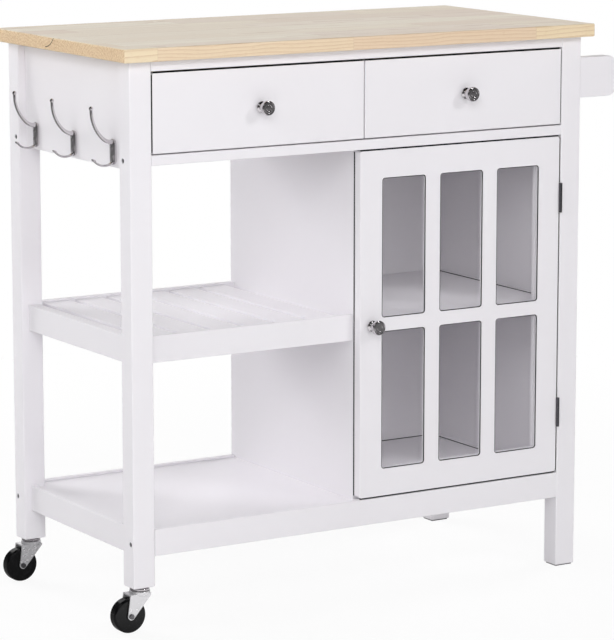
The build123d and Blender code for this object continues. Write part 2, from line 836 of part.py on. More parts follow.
def towel_bar():
    """The round bar between the two brackets."""
    z0, z1 = bracket_levels()
    x = frame_width + bracket_reach - towel_bar_inset
    start = leg_centre_y + bracket_thickness / 2 - towel_bar_seat_depth
    return rod(towel_bar_radius, frame_depth - 2 * start, (x, start, (z0 + z1) / 2), (0, 1, 0))


def frame_pieces():
    """The wooden frame and what is fixed to it."""
    span = (inner_left, inner_right)
    rail_levels = (drawer_rail_underside, drawer_rail_top)
    rear_rail_front = frame_depth - drawer_rail_depth
    divider_front = drawer_front_thickness + closing_gap
    return {
        "worktop": worktop(),
        "left_front_leg": leg(left=True, front=True),
        "left_rear_leg": leg(left=True, front=False),
        "right_front_leg": leg(left=False, front=True),
        "right_rear_leg": leg(left=False, front=False),
        "leg_pads": leg_pads(),
        "left_apron": left_apron(),
        "rear_apron": board(*span, rear_rail_face, frame_depth, drawer_rail_top, leg_top),
        "right_side_panel": right_side_panel(),
        "top_front_rail": board(*span, 0, rail_thickness, leg_top - board_thickness, leg_top),
        "front_drawer_rail": drill_bolts(board(*span, 0, drawer_rail_depth, *rail_levels)),
        "rear_drawer_rail": drill_bolts(board(*span, rear_rail_front, frame_depth, *rail_levels)),
        "drawer_divider": block(partition_left, partition_right, divider_front, rear_rail_face,
                                drawer_rail_top, leg_top),
        "bottom_front_rail": drill_bolts(cross_rail(inner_right, 0, low_rail_underside, "back")),
        "bottom_rear_rail": drill_bolts(cross_rail(inner_right, rear_rail_face, low_rail_underside, "front")),
        "bottom_left_rail": bottom_left_rail(),
        "bottom_shelf": bottom_shelf(),
        "mid_shelf_front_rail": cross_rail(partition_left, mid_rail_setback, mid_rail_underside, "back"),
        "mid_shelf_rear_rail": cross_rail(partition_left, rear_rail_face, mid_rail_underside, "front"),
        "mid_shelf_left_rail": left_rail(mid_rail_underside),
        "mid_shelf_slats": mid_shelf_slats(),
        "partition": partition(),
        "cabinet_back": block(partition_right, inner_right, cabinet_back_face,
                              cabinet_back_face + cabinet_back_thickness, low_shelf_top, drawer_rail_underside),
        "cabinet_shelf": cabinet_shelf(),
        "shelf_pins": shelf_pins(),
        "drawer_runners": drawer_runners(),
        "frame_bolts": frame_bolts(),
        "towel_brackets": [towel_bracket(leg_centre_y), towel_bracket(frame_depth - leg_centre_y)],
        "towel_bar": towel_bar(),
        "coat_hook_front": coat_hook(-1),
        "coat_hook_middle": coat_hook(0),
        "coat_hook_rear": coat_hook(1),
        "hook_screws": hook_screws(),
        "magnetic_catch": magnetic_catch(),
        "hinge_frame_leaves": hinge_leaves("frame"),
    }


def drawer_pieces(side):
    """One drawer: front, two sides, back, bottom and knob."""
    name = side + "_drawer_"
    return {
        name + "front": drawer_front(side),
        name + "sides": drawer_sides(side),
        name + "back": drawer_back(side),
        name + "bottom": drawer_bottom(side),
        name + "knob": knob(side),
    }


def door_pieces():
    """The glazed door and what swings with it."""
    return {
        "door_panel": door_panel(),
        "door_glass": door_glass(),
        "glass_beads": glass_beads(),
        "door_knob": knob("door"),
        "catch_strike": catch_strike(),
        "hinge_door_leaves": hinge_leaves("door"),
        "hinge_pins": hinge_pins(),
    }


def caster_pieces(front):
    """One caster: fixed stem, swivelling fork, axle and wheel."""
    name = "front_caster_" if front else "rear_caster_"
    return {
        name + "stem": caster_stem(front),
        name + "fork": caster_fork(front),
        name + "axle": caster_axle(front),
        name + "wheel": caster_wheel(front),
    }


def as_shape(piece):
    """One shape for export: a group of equal pieces becomes a compound of separate solids."""
    members = piece if isinstance(piece, list) else [piece]
    solids = [solid for member in members for solid in member.solids()]
    return solids[0] if len(solids) == 1 else Compound(solids)


def write_parts(pieces):
    """Move every piece so that the origin is below the middle of the whole cart, and write it."""
    shapes = {name: as_shape(piece) for name, piece in pieces.items()}
    box = Compound(list(shapes.values())).bounding_box()
    to_origin = Pos(-box.center().X, -box.center().Y, -box.min.Z)
    os.makedirs("parts", exist_ok=True)
    for name, shape in shapes.items():
        export_step(to_origin * shape, "parts/" + name + ".step")
    print("size", box.size, "middle", box.center())


write_parts(frame_pieces() | drawer_pieces("left") | drawer_pieces("right") | door_pieces()
            | caster_pieces(front=True) | caster_pieces(front=False))
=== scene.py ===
import bmesh
import bpy
from math import cos, pi, radians, sin
from mathutils import Matrix, Vector


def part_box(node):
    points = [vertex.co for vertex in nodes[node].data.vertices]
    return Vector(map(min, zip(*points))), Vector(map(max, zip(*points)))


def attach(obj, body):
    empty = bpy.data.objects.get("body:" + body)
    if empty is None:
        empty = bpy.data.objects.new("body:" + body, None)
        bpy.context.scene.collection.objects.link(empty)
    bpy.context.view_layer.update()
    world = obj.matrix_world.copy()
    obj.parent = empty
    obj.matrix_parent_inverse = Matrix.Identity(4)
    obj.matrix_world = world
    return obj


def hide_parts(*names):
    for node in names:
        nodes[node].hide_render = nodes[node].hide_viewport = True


# Kitchen cart, white-painted frame with a rubberwood top.
# Everything is in metres, in the frame's own axes: X right, Y back, Z up, floor at zero.
# The dictionaries hold what may be changed, with sizes in millimetres where a note says so.

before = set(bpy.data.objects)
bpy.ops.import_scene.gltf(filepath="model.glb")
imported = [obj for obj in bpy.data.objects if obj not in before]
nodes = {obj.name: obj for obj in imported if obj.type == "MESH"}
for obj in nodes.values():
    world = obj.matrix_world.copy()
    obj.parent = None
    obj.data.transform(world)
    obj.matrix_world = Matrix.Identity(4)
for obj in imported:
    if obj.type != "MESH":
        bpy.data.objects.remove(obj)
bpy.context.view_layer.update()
mm = 0.001
print("frame loaded:", len(nodes), "nodes")


# small helpers
def linear(hexColour):  # sRGB hex to the linear colour that shaders want
    channels = [int(hexColour[i:i + 2], 16) / 255 for i in (1, 3, 5)]
    return [c / 12.92 if c <= 0.04045 else ((c + 0.055) / 1.055) ** 2.4 for c in channels] + [1.0]


def mainOutput(source):  # of a node or a socket, where a Mix of colours gives its own at 2
    if isinstance(source, bpy.types.Node):
        return source.outputs[2 if source.bl_idname == "ShaderNodeMix" else 0]
    return source


# Inputs go by name or by number, and each is a value, a socket or a node.
# A colour Mix has its share at 0 and its colours at 6 and 7.
# A Map Range has its value at 0, the range it reads at 1 and 2, and the range it gives at 3 and 4.
def addNode(tree, kind, inputs=None, **settings):
    node = tree.nodes.new(kind)
    for name, value in settings.items():
        setattr(node, name, value)
    for socket, value in (inputs or {}).items():
        if isinstance(value, (bpy.types.Node, bpy.types.NodeSocket)):
            tree.links.new(mainOutput(value), node.inputs[socket])
        else:
            node.inputs[socket].default_value = value
    return node


def newMaterial(name, **shaderInputs):  # comes with its shader and the piece's own coordinates
    material = bpy.data.materials.new(name)
    material.use_nodes = True
    tree = material.node_tree
    shader = tree.nodes["Principled BSDF"]
    for socket, value in shaderInputs.items():
        shader.inputs[socket.replace("_", " ")].default_value = value
    place = addNode(tree, "ShaderNodeTexCoord").outputs["Object"]
    return material, tree, shader, place


def feed(tree, target, **sources):  # links finished nodes to a shader or an output
    for socket, source in sources.items():
        tree.links.new(mainOutput(source), target.inputs[socket.replace("_", " ")])


def mottle(tree, place, size, detail, colours):  # noise with cells of this size in mm, and the tone it gives
    noise = addNode(tree, "ShaderNodeTexNoise", {"Vector": place, "Scale": 1000 / size, "Detail": detail})
    tone = addNode(tree, "ShaderNodeMix", {0: noise, 6: linear(colours[0]), 7: linear(colours[1])},
                   data_type="RGBA")
    return noise, tone


def dress(material, *names):  # gives CAD nodes their finish
    for name in names:
        data = nodes[name].data
        data.materials.clear()
        data.materials.append(material)
        for polygon in data.polygons:
            polygon.material_index = 0


# white paint: satin acrylic rolled over solid wood
paint = {
    "colour": "#EBE9ED",
    "shade": "#E6E3E7",
    "roughness": (0.37, 0.48),
    "driftSize": 250.0,   # mm, slow change of tone along a board
    "peelSize": 1.6,      # mm, the roller's orange peel
    "peelDepth": 0.03,    # mm
    "grainWidth": 3.0,    # mm, pores that still show through
    "grainLength": 90.0,  # mm
    "grainDepth": 0.05,   # mm
}


def satinWhitePaint(along):  # clean, even and slightly cool, with soft long pores along the board
    material, tree, shader, place = newMaterial("satinWhitePaint" + along)
    across, length = 1000 / paint["grainWidth"], 1000 / paint["grainLength"]
    stretch = [length if axis == along else across for axis in "XYZ"]
    board = addNode(tree, "ShaderNodeMapping", {"Vector": place, "Scale": stretch})
    pores = addNode(tree, "ShaderNodeTexNoise", {"Vector": board, "Scale": 1.0, "Detail": 3.0})
    peel = addNode(tree, "ShaderNodeTexNoise",
                   {"Vector": place, "Scale": 1000 / paint["peelSize"], "Detail": 2.0})
    _, tone = mottle(tree, place, paint["driftSize"], 2.0, (paint["shade"], paint["colour"]))
    smooth, rough = paint["roughness"]
    sheen = addNode(tree, "ShaderNodeMapRange", {0: pores, 1: 0.3, 2: 0.7, 3: smooth, 4: rough})
    under = addNode(tree, "ShaderNodeBump",
                    {"Strength": 0.25, "Distance": paint["grainDepth"] * mm, "Height": pores})
    over = addNode(tree, "ShaderNodeBump",
                   {"Strength": 0.2, "Distance": paint["peelDepth"] * mm, "Height": peel, "Normal": under})
    feed(tree, shader, Base_Color=tone, Roughness=sheen, Normal=over)
    return material


# worktop: rubberwood staves, finger-jointed end to end and lacquered
worktop = {
    "pale": "#EFE0C4",
    "warm": "#E5CDA8",
    "rosy": "#E1C7AC",
    "lateWood": "#B98C5C",
    "endPale": "#F2DDBB",
    "endDark": "#BA8E62",
    "glue": "#8C6B45",
    "shake": "#3A2A1C",
    "roughness": (0.3, 0.42),
    "lacquer": 0.3,
    "lacquerRoughness": 0.22,
    "staveWidth": 59.3,          # mm
    "staveStart": 14.0,          # mm behind the middle, where a joint between two staves runs
    "seamWidth": 0.35,           # mm, the glue line between two staves
    "seamStrength": 0.5,
    "blockLength": 330.0,        # mm between finger joints
    "blockShift": 7.31,          # blocks, the most that one stave's joints are moved against the next one's
    "fingerLength": 9.0,         # mm
    "fingerPitch": 4.0,          # mm
    "jointWidth": 0.5,           # mm, the glue line between two blocks
    "jointStrength": 0.3,
    "heart": (85.0, 832.0),      # mm across the stave and above the floor, where a block's rings are centred
    "heartSpread": (110.0, 60.0),  # mm, how far down and aside of that it may lie
    "ringSpacing": 5.2,          # mm between growth rings
    "ringNarrowing": 5.0,        # the higher, the thinner the dark late wood
    "wander": 15.0,              # mm, how far a ring strays
    "wanderSize": (167.0, 50.0),  # mm along and across the grain, as in the next two
    "fibreSize": (50.0, 0.91),
    "poreSize": (11.1, 0.625),
    "poreStrength": 0.3,
    "rosyFrom": 0.55,            # share of the blocks with no blush
    "blush": 0.8,
    "fleckSize": (10.0, 1.5),    # mm, pores cut across in the end grain
    "ringsInEnd": 0.55,
    "shakeHeart": (44.5, 878.0),  # mm, Y and Z of the heart that a drying split in the left end curves round
    "shakeRadius": 33.0,
    "shakeWidth": 0.7,
    "relief": 0.06,              # mm
}


def grainScale(size):  # scale of a pattern with cells of this length and width, for coordinates in mm
    length, width = size
    return 1 / length, 1 / width, 1 / width


def lacqueredRubberwood():  # creamy staves that differ a little, thin brown rings, and speckled end grain
    material, tree, shader, place = newMaterial("lacqueredRubberwood", Coat_Weight=worktop["lacquer"],
                                                Coat_Roughness=worktop["lacquerRoughness"])
    milli = addNode(tree, "ShaderNodeVectorMath", {0: place, "Scale": 1000.0}, operation="SCALE")
    axes = addNode(tree, "ShaderNodeSeparateXYZ", {0: milli}).outputs
    # which stave, then which block of it, with a comb of fingers at each joint
    behind = addNode(tree, "ShaderNodeMath", {0: axes["Y"], 1: worktop["staveStart"]}, operation="SUBTRACT")
    stave = addNode(tree, "ShaderNodeMath", {0: behind, 1: worktop["staveWidth"]}, operation="DIVIDE")
    staveId = addNode(tree, "ShaderNodeMath", {0: stave}, operation="FLOOR")
    shift = addNode(tree, "ShaderNodeTexWhiteNoise", {"W": staveId}, noise_dimensions="1D").outputs["Value"]
    comb = addNode(tree, "ShaderNodeMath", {0: axes["Y"], 1: worktop["fingerPitch"] / 2},
                   operation="PINGPONG")
    slope = 2 * worktop["fingerLength"] / worktop["fingerPitch"]
    reach = addNode(tree, "ShaderNodeMath", {0: comb, 1: slope, 2: axes["X"]}, operation="MULTIPLY_ADD")
    run = addNode(tree, "ShaderNodeMath", {0: reach, 1: worktop["blockLength"]}, operation="DIVIDE")
    block = addNode(tree, "ShaderNodeMath", {0: shift, 1: worktop["blockShift"], 2: run},
                    operation="MULTIPLY_ADD")
    blockId = addNode(tree, "ShaderNodeMath", {0: block}, operation="FLOOR")
    pair = addNode(tree, "ShaderNodeCombineXYZ", {0: blockId, 1: staveId})
    chance = addNode(tree, "ShaderNodeTexWhiteNoise", {"Vector": pair}).outputs["Color"]
    chances = addNode(tree, "ShaderNodeSeparateXYZ", {0: chance}).outputs
    # growth rings round a heart that lies below each block, to one side or the other
    staveFraction = addNode(tree, "ShaderNodeMath", {0: stave}, operation="FRACT")
    inStave = addNode(tree, "ShaderNodeMath", {0: staveFraction, 1: worktop["staveWidth"]},
                      operation="MULTIPLY")
    inBlock = addNode(tree, "ShaderNodeCombineXYZ", {1: inStave, 2: axes["Z"]})
    spread = addNode(tree, "ShaderNodeVectorMath", {0: chance, 1: (0.0,) + worktop["heartSpread"]},
                     operation="MULTIPLY")
    moved = addNode(tree, "ShaderNodeVectorMath", {0: inBlock, 1: spread}, operation="ADD")
    fromHeart = addNode(tree, "ShaderNodeVectorMath", {0: moved, 1: (0.0,) + worktop["heart"]},
                        operation="DISTANCE").outputs["Value"]
    bend = addNode(tree, "ShaderNodeMapping", {"Vector": milli, "Scale": grainScale(worktop["wanderSize"])})
    wander = addNode(tree, "ShaderNodeTexNoise", {"Vector": bend, "Scale": 1.0, "Detail": 2.0})
    wavy = addNode(tree, "ShaderNodeMath", {0: wander, 1: worktop["wander"], 2: fromHeart},
                   operation="MULTIPLY_ADD")
    turns = addNode(tree, "ShaderNodeMath", {0: wavy, 1: worktop["ringSpacing"]}, operation="DIVIDE")
    ring = addNode(tree, "ShaderNodeMath", {0: turns}, operation="FRACT")
    late = addNode(tree, "ShaderNodeMath", {0: ring, 1: worktop["ringNarrowing"]}, operation="POWER")
    # fibres and pores, long along the stave
    strands = addNode(tree, "ShaderNodeMapping", {"Vector": milli, "Scale": grainScale(worktop["fibreSize"])})
    fibre = addNode(tree, "ShaderNodeTexNoise", {"Vector": strands, "Scale": 1.0, "Detail": 4.0})
    poreRun = addNode(tree, "ShaderNodeMapping", {"Vector": milli, "Scale": grainScale(worktop["poreSize"])})
    poreNoise = addNode(tree, "ShaderNodeTexNoise", {"Vector": poreRun, "Scale": 1.0, "Detail": 1.0})
    pore = addNode(tree, "ShaderNodeMapRange", {0: poreNoise, 1: 0.62, 2: 0.7})
    # colours of the block, then rings and pores over them
    tint = addNode(tree, "ShaderNodeMix",
                   {0: chances["X"], 6: linear(worktop["pale"]), 7: linear(worktop["warm"])},
                   data_type="RGBA")
    blushShare = addNode(tree, "ShaderNodeMapRange",
                         {0: chances["Z"], 1: worktop["rosyFrom"], 2: 1.0, 4: worktop["blush"]})
    blushed = addNode(tree, "ShaderNodeMix", {0: blushShare, 6: tint, 7: linear(worktop["rosy"])},
                      data_type="RGBA")
    lateShare = addNode(tree, "ShaderNodeMath", {0: late, 1: fibre}, operation="MULTIPLY")
    grained = addNode(tree, "ShaderNodeMix", {0: lateShare, 6: blushed, 7: linear(worktop["lateWood"])},
                      data_type="RGBA")
    poreShare = addNode(tree, "ShaderNodeMath", {0: pore, 1: worktop["poreStrength"]}, operation="MULTIPLY")
    pored = addNode(tree, "ShaderNodeMix", {0: poreShare, 6: grained, 7: linear(worktop["lateWood"])},
                    data_type="RGBA")
    # the ends, where the rings and pores are cut across
    fleckRun = addNode(tree, "ShaderNodeMapping",
                       {"Vector": milli, "Scale": grainScale(worktop["fleckSize"])})
    fleckNoise = addNode(tree, "ShaderNodeTexNoise",
                         {"Vector": fleckRun, "Scale": 1.0, "Detail": 2.0, "Roughness": 0.7})
    fleck = addNode(tree, "ShaderNodeMapRange", {0: fleckNoise, 1: 0.38, 2: 0.66})
    cutRing = addNode(tree, "ShaderNodeMath", {0: late, 1: worktop["ringsInEnd"], 2: fleck},
                      operation="MULTIPLY_ADD")
    endShare = addNode(tree, "ShaderNodeMapRange", {0: cutRing, 1: 0.0, 2: 1.4, 3: 0.1, 4: 0.95})
    endTone = addNode(tree, "ShaderNodeMix",
                      {0: endShare, 6: linear(worktop["endPale"]), 7: linear(worktop["endDark"])},
                      data_type="RGBA")
    facing = addNode(tree, "ShaderNodeNewGeometry").outputs["Normal"]
    facingX = addNode(tree, "ShaderNodeSeparateXYZ", {0: facing}).outputs["X"]
    endOn = addNode(tree, "ShaderNodeMath", {0: facingX}, operation="ABSOLUTE")
    isEnd = addNode(tree, "ShaderNodeMapRange", {0: endOn, 1: 0.75, 2: 0.97})
    ended = addNode(tree, "ShaderNodeMix", {0: isEnd, 6: pored, 7: endTone}, data_type="RGBA")
    # glue lines between staves and blocks
    staveEdge = addNode(tree, "ShaderNodeMath", {0: stave, 1: 0.5}, operation="PINGPONG")
    seam = addNode(tree, "ShaderNodeMapRange",
                   {0: staveEdge, 1: 0.0, 2: worktop["seamWidth"] / worktop["staveWidth"],
                    3: worktop["seamStrength"], 4: 0.0})
    blockEdge = addNode(tree, "ShaderNodeMath", {0: block, 1: 0.5}, operation="PINGPONG")
    joint = addNode(tree, "ShaderNodeMapRange",
                    {0: blockEdge, 1: 0.0, 2: worktop["jointWidth"] / worktop["blockLength"],
                     3: worktop["jointStrength"], 4: 0.0})
    line = addNode(tree, "ShaderNodeMath", {0: seam, 1: joint}, operation="MAXIMUM")
    glued = addNode(tree, "ShaderNodeMix", {0: line, 6: ended, 7: linear(worktop["glue"])}, data_type="RGBA")
    # one drying split that follows a ring in the front half of the left end
    shakeY, shakeZ = worktop["shakeHeart"]
    flatEnd = addNode(tree, "ShaderNodeVectorMath", {0: milli, 1: (0.0, 1.0, 1.0)}, operation="MULTIPLY")
    fromShake = addNode(tree, "ShaderNodeVectorMath", {0: flatEnd, 1: (0.0, shakeY, shakeZ)},
                        operation="DISTANCE").outputs["Value"]
    onShake = addNode(tree, "ShaderNodeMath",
                      {0: fromShake, 1: worktop["shakeRadius"], 2: worktop["shakeWidth"]},
                      operation="COMPARE")
    leftEnd = addNode(tree, "ShaderNodeMath", {0: facingX, 1: -0.8}, operation="LESS_THAN")
    nearSide = addNode(tree, "ShaderNodeMath", {0: axes["Y"], 1: shakeY - 1.0}, operation="LESS_THAN")
    shakeEnd = addNode(tree, "ShaderNodeMath", {0: leftEnd, 1: nearSide}, operation="MULTIPLY")
    shaken = addNode(tree, "ShaderNodeMath", {0: onShake, 1: shakeEnd}, operation="MULTIPLY")
    split = addNode(tree, "ShaderNodeMix", {0: shaken, 6: glued, 7: linear(worktop["shake"])},
                    data_type="RGBA")
    smooth, rough = worktop["roughness"]
    gloss = addNode(tree, "ShaderNodeMapRange", {0: fibre, 1: 0.3, 2: 0.7, 3: smooth, 4: rough})
    hollows = addNode(tree, "ShaderNodeMath", {0: late, 1: pore}, operation="ADD")
    bump = addNode(tree, "ShaderNodeBump",
                   {"Strength": 0.3, "Distance": -worktop["relief"] * mm, "Height": hollows})
    feed(tree, shader, Base_Color=split, Roughness=gloss, Normal=bump)
    return material


# drawer insides and runners: bare planed pine
pine = {
    "pale": "#E9D2AB",
    "streak": "#D3AE7B",
    "roughness": 0.6,
    "streakWidth": 2.5,     # mm
    "streakLength": 200.0,  # mm
    "relief": 0.08,         # mm
}


def barePine(along):  # dry and matt, with soft straight streaks
    material, tree, shader, place = newMaterial("barePine" + along, Roughness=pine["roughness"])
    across, length = 1000 / pine["streakWidth"], 1000 / pine["streakLength"]
    stretch = [length if axis == along else across for axis in "XYZ"]
    board = addNode(tree, "ShaderNodeMapping", {"Vector": place, "Scale": stretch})
    streak = addNode(tree, "ShaderNodeTexNoise", {"Vector": board, "Scale": 1.0, "Detail": 5.0})
    share = addNode(tree, "ShaderNodeMapRange", {0: streak, 1: 0.35, 2: 0.75})
    tone = addNode(tree, "ShaderNodeMix",
                   {0: share, 6: linear(pine["pale"]), 7: linear(pine["streak"])}, data_type="RGBA")
    bump = addNode(tree, "ShaderNodeBump",
                   {"Strength": 0.3, "Distance": pine["relief"] * mm, "Height": streak})
    feed(tree, shader, Base_Color=tone, Normal=bump)
    return material


# hooks, knobs and caster stems: bright chrome plate
chrome = {"colour": "#D0CCCF", "roughness": (0.05, 0.12), "smudgeSize": 9.0}  # mm


def polishedChrome():  # mirror-bright plating with the faintest handling smears
    material, tree, shader, place = newMaterial("polishedChrome", Metallic=1.0,
                                                Base_Color=linear(chrome["colour"]))
    smear = addNode(tree, "ShaderNodeTexNoise",
                    {"Vector": place, "Scale": 1000 / chrome["smudgeSize"], "Detail": 3.0})
    smooth, rough = chrome["roughness"]
    gloss = addNode(tree, "ShaderNodeMapRange", {0: smear, 1: 0.4, 2: 0.75, 3: smooth, 4: rough})
    feed(tree, shader, Roughness=gloss)
    return material


# caster forks and cabinet fittings: pressed steel, zinc plated
zinc = {
    "colour": "#E9E8EA",
    "dull": "#D2D1D4",
    "metal": 0.7,            # below 1, because the passivated film scatters some light
    "roughness": (0.16, 0.3),
    "cloudSize": 6.0,        # mm
    "sheetEdge": 0.35,       # mm, rounding of the forks' pressed edges
    "sheetAngle": 50.0,      # degrees, from which an edge is rounded
}


def brightZinc():  # thin clear-passivated electroplate: pale, slightly cloudy, softly reflecting
    material, tree, shader, place = newMaterial("brightZinc", Metallic=zinc["metal"])
    cloud, tone = mottle(tree, place, zinc["cloudSize"], 4.0, (zinc["dull"], zinc["colour"]))
    smooth, rough = zinc["roughness"]
    gloss = addNode(tree, "ShaderNodeMapRange", {0: cloud, 1: 0.3, 2: 0.7, 3: smooth, 4: rough})
    feed(tree, shader, Base_Color=tone, Roughness=gloss)
    return material


def pressedEdges(*names):  # sheet edges catch the light
    for name in names:
        softened = nodes[name].modifiers.new("pressedEdge", "BEVEL")
        softened.width = zinc["sheetEdge"] * mm
        softened.segments = 2
        softened.limit_method = "ANGLE"
        softened.angle_limit = radians(zinc["sheetAngle"])


# bolt heads and caster axles: oiled rivet steel
rivetSteel = {"colour": "#4C4B4E", "bright": "#8B8A8D", "roughness": 0.25, "rubSize": 1.43}  # mm


def darkRivetSteel():  # near black with brighter rubbed spots
    material, tree, shader, place = newMaterial("darkRivetSteel", Metallic=1.0,
                                                Roughness=rivetSteel["roughness"])
    _, tone = mottle(tree, place, rivetSteel["rubSize"], 2.0, (rivetSteel["colour"], rivetSteel["bright"]))
    feed(tree, shader, Base_Color=tone)
    return material


# hinges: burnished steel
hingeSteel = {"colour": "#76757A", "dark": "#4E4D51", "roughness": 0.3, "rubSize": 2.0}  # mm


def burnishedSteel():  # rubbed bright, mottled with darker patches
    material, tree, shader, place = newMaterial("burnishedSteel", Metallic=1.0,
                                                Roughness=hingeSteel["roughness"])
    _, tone = mottle(tree, place, hingeSteel["rubSize"], 3.0, (hingeSteel["dark"], hingeSteel["colour"]))
    feed(tree, shader, Base_Color=tone)
    return material


# caster wheels: moulded polyamide
wheelPlastic = {
    "colour": "#080809",
    "worn": "#141417",
    "roughness": (0.12, 0.27),
    "specular": 0.3,
    "scuffSize": 5.0,   # mm
}


def glossBlackPlastic():  # deep black and glossy, with faint scuffs
    material, tree, shader, place = newMaterial("glossBlackPlastic",
                                                Specular_IOR_Level=wheelPlastic["specular"])
    scale = 1000 / wheelPlastic["scuffSize"]
    scuff = addNode(tree, "ShaderNodeTexNoise", {"Vector": place, "Scale": scale, "Detail": 5.0})
    share = addNode(tree, "ShaderNodeMapRange", {0: scuff, 1: 0.5, 2: 0.8})
    tone = addNode(tree, "ShaderNodeMix",
                   {0: share, 6: linear(wheelPlastic["colour"]), 7: linear(wheelPlastic["worn"])},
                   data_type="RGBA")
    smooth, rough = wheelPlastic["roughness"]
    gloss = addNode(tree, "ShaderNodeMapRange", {0: scuff, 1: 0.4, 2: 0.8, 3: smooth, 4: rough})
    feed(tree, shader, Base_Color=tone, Roughness=gloss)
    return material


# the pane behind the six lites: float glass
glass = {"tint": "#FCFCFD", "ior": 1.5, "waveSize": 167.0, "waveDepth": 0.2}  # the waves in mm


def floatGlass():  # clear, with the slow waviness of sheet, and lets the lamps reach what is behind it
    material, tree, shader, place = newMaterial("floatGlass", Base_Color=linear(glass["tint"]), Roughness=0.0,
                                                IOR=glass["ior"], Transmission_Weight=1.0)
    ray = addNode(tree, "ShaderNodeLightPath").outputs
    lighting = addNode(tree, "ShaderNodeMath", {0: ray["Is Shadow Ray"], 1: ray["Is Diffuse Ray"]},
                       operation="MAXIMUM")
    through = addNode(tree, "ShaderNodeBsdfTransparent")
    surface = addNode(tree, "ShaderNodeMixShader", {0: lighting, 1: shader, 2: through})
    feed(tree, tree.nodes["Material Output"], Surface=surface)
    wave = addNode(tree, "ShaderNodeTexNoise",
                   {"Vector": place, "Scale": 1000 / glass["waveSize"], "Detail": 1.0})
    bump = addNode(tree, "ShaderNodeBump",
                   {"Strength": 0.1, "Distance": glass["waveDepth"] * mm, "Height": wave})
    feed(tree, shader, Normal=bump)
    return material


# pads under the right legs: pressed wool felt
felt = {"colour": "#6B6A6C", "fibre": "#8A898B", "fibreSize": 0.7, "nap": 0.3}  # mm


def greyFelt():  # fuzzy and matt
    material, tree, shader, place = newMaterial("greyFelt", Roughness=0.95)
    fuzz, tone = mottle(tree, place, felt["fibreSize"], 4.0, (felt["colour"], felt["fibre"]))
    bump = addNode(tree, "ShaderNodeBump", {"Strength": 0.6, "Distance": felt["nap"] * mm, "Height": fuzz})
    feed(tree, shader, Base_Color=tone, Normal=bump)
    return material


# magnetic catch: small injection-moulded housing
ivory = {"colour": "#E4E1DA", "shade": "#D9D5CC", "roughness": 0.4, "flowSize": 8.3}  # mm


def mouldedIvory():  # warm white and semi-matt, with faint flow marks
    material, tree, shader, place = newMaterial("mouldedIvory", Roughness=ivory["roughness"])
    _, tone = mottle(tree, place, ivory["flowSize"], 2.0, (ivory["shade"], ivory["colour"]))
    feed(tree, shader, Base_Color=tone)
    return material


paintAlong = {axis: satinWhitePaint(axis) for axis in "XYZ"}
pineAlong = {axis: barePine(axis) for axis in "XY"}
chromePlate = polishedChrome()
dress(lacqueredRubberwood(), "worktop")
dress(paintAlong["Z"], "left_front_leg", "left_rear_leg", "right_front_leg", "right_rear_leg", "partition",
      "right_side_panel", "cabinet_back", "door_panel", "glass_beads")
dress(paintAlong["X"], "top_front_rail", "front_drawer_rail", "rear_drawer_rail", "rear_apron",
      "bottom_front_rail", "bottom_rear_rail", "bottom_shelf", "mid_shelf_front_rail", "mid_shelf_rear_rail",
      "cabinet_shelf", "left_drawer_front", "right_drawer_front", "drawer_divider", "towel_brackets")
dress(paintAlong["Y"], "left_apron", "bottom_left_rail", "mid_shelf_left_rail", "mid_shelf_slats",
      "towel_bar", "left_drawer_bottom", "right_drawer_bottom")
dress(pineAlong["Y"], "left_drawer_sides", "right_drawer_sides", "drawer_runners")
dress(pineAlong["X"], "left_drawer_back", "right_drawer_back")
dress(chromePlate, "left_drawer_knob", "right_drawer_knob", "door_knob", "coat_hook_front",
      "coat_hook_middle", "coat_hook_rear", "hook_screws", "front_caster_stem", "rear_caster_stem")
dress(brightZinc(), "front_caster_fork", "rear_caster_fork", "shelf_pins", "catch_strike")
dress(darkRivetSteel(), "front_caster_axle", "rear_caster_axle", "frame_bolts")
dress(burnishedSteel(), "hinge_frame_leaves", "hinge_door_leaves", "hinge_pins")
dress(glossBlackPlastic(), "front_caster_wheel", "rear_caster_wheel")
dress(floatGlass(), "door_glass")
dress(greyFelt(), "leg_pads")
dress(mouldedIvory(), "magnetic_catch")
pressedEdges("front_caster_fork", "rear_caster_fork")
print("finishes set")


# modelling by hand: helpers round Blender's own operators
def openPiece(name):  # names the new primitive, puts its place into its mesh and opens it for editing
    piece = bpy.context.object
    piece.name = piece.data.name = name
    bpy.ops.object.transform_apply(location=True, rotation=True, scale=True)
    bpy.ops.object.mode_set(mode="EDIT")
    bpy.ops.mesh.select_all(action="DESELECT")
    return piece


def pickFaces(test):  # selects the faces of the open mesh whose middle and normal pass the test
    bpy.ops.mesh.select_mode(type="FACE")
    mesh = bmesh.from_edit_mesh(bpy.context.object.data)
    for face in mesh.faces:
        face.select_set(test(face.calc_center_median(), face.normal))
    bmesh.update_edit_mesh(bpy.context.object.data)


def pickVertices(test):
    bpy.ops.mesh.select_mode(type="VERT")
    bpy.ops.mesh.select_all(action="DESELECT")
    mesh = bmesh.from_edit_mesh(bpy.context.object.data)
    for vertex in mesh.verts:
        vertex.select_set(test(vertex.co))
    mesh.select_flush(True)
    bmesh.update_edit_mesh(bpy.context.object.data)


def finishWith(piece, kind, **settings):  # adds a modifier and applies it
    bpy.context.view_layer.objects.active = piece
    modifier = piece.modifiers.new(kind, kind)
    for name, value in settings.items():
        setattr(modifier, name, value)
    bpy.ops.object.modifier_apply(modifier=modifier.name)


def softenEdges(piece, radius, segments, angle):  # radius in mm, on edges sharper than the angle in degrees
    finishWith(piece, "BEVEL", width=radius * mm, segments=segments, limit_method="ANGLE",
               angle_limit=radians(angle))


def joined(first, *others):
    bpy.ops.object.select_all(action="DESELECT")
    for piece in (first,) + others:
        piece.select_set(True)
    bpy.context.view_layer.objects.active = first
    bpy.ops.object.join()
    return first


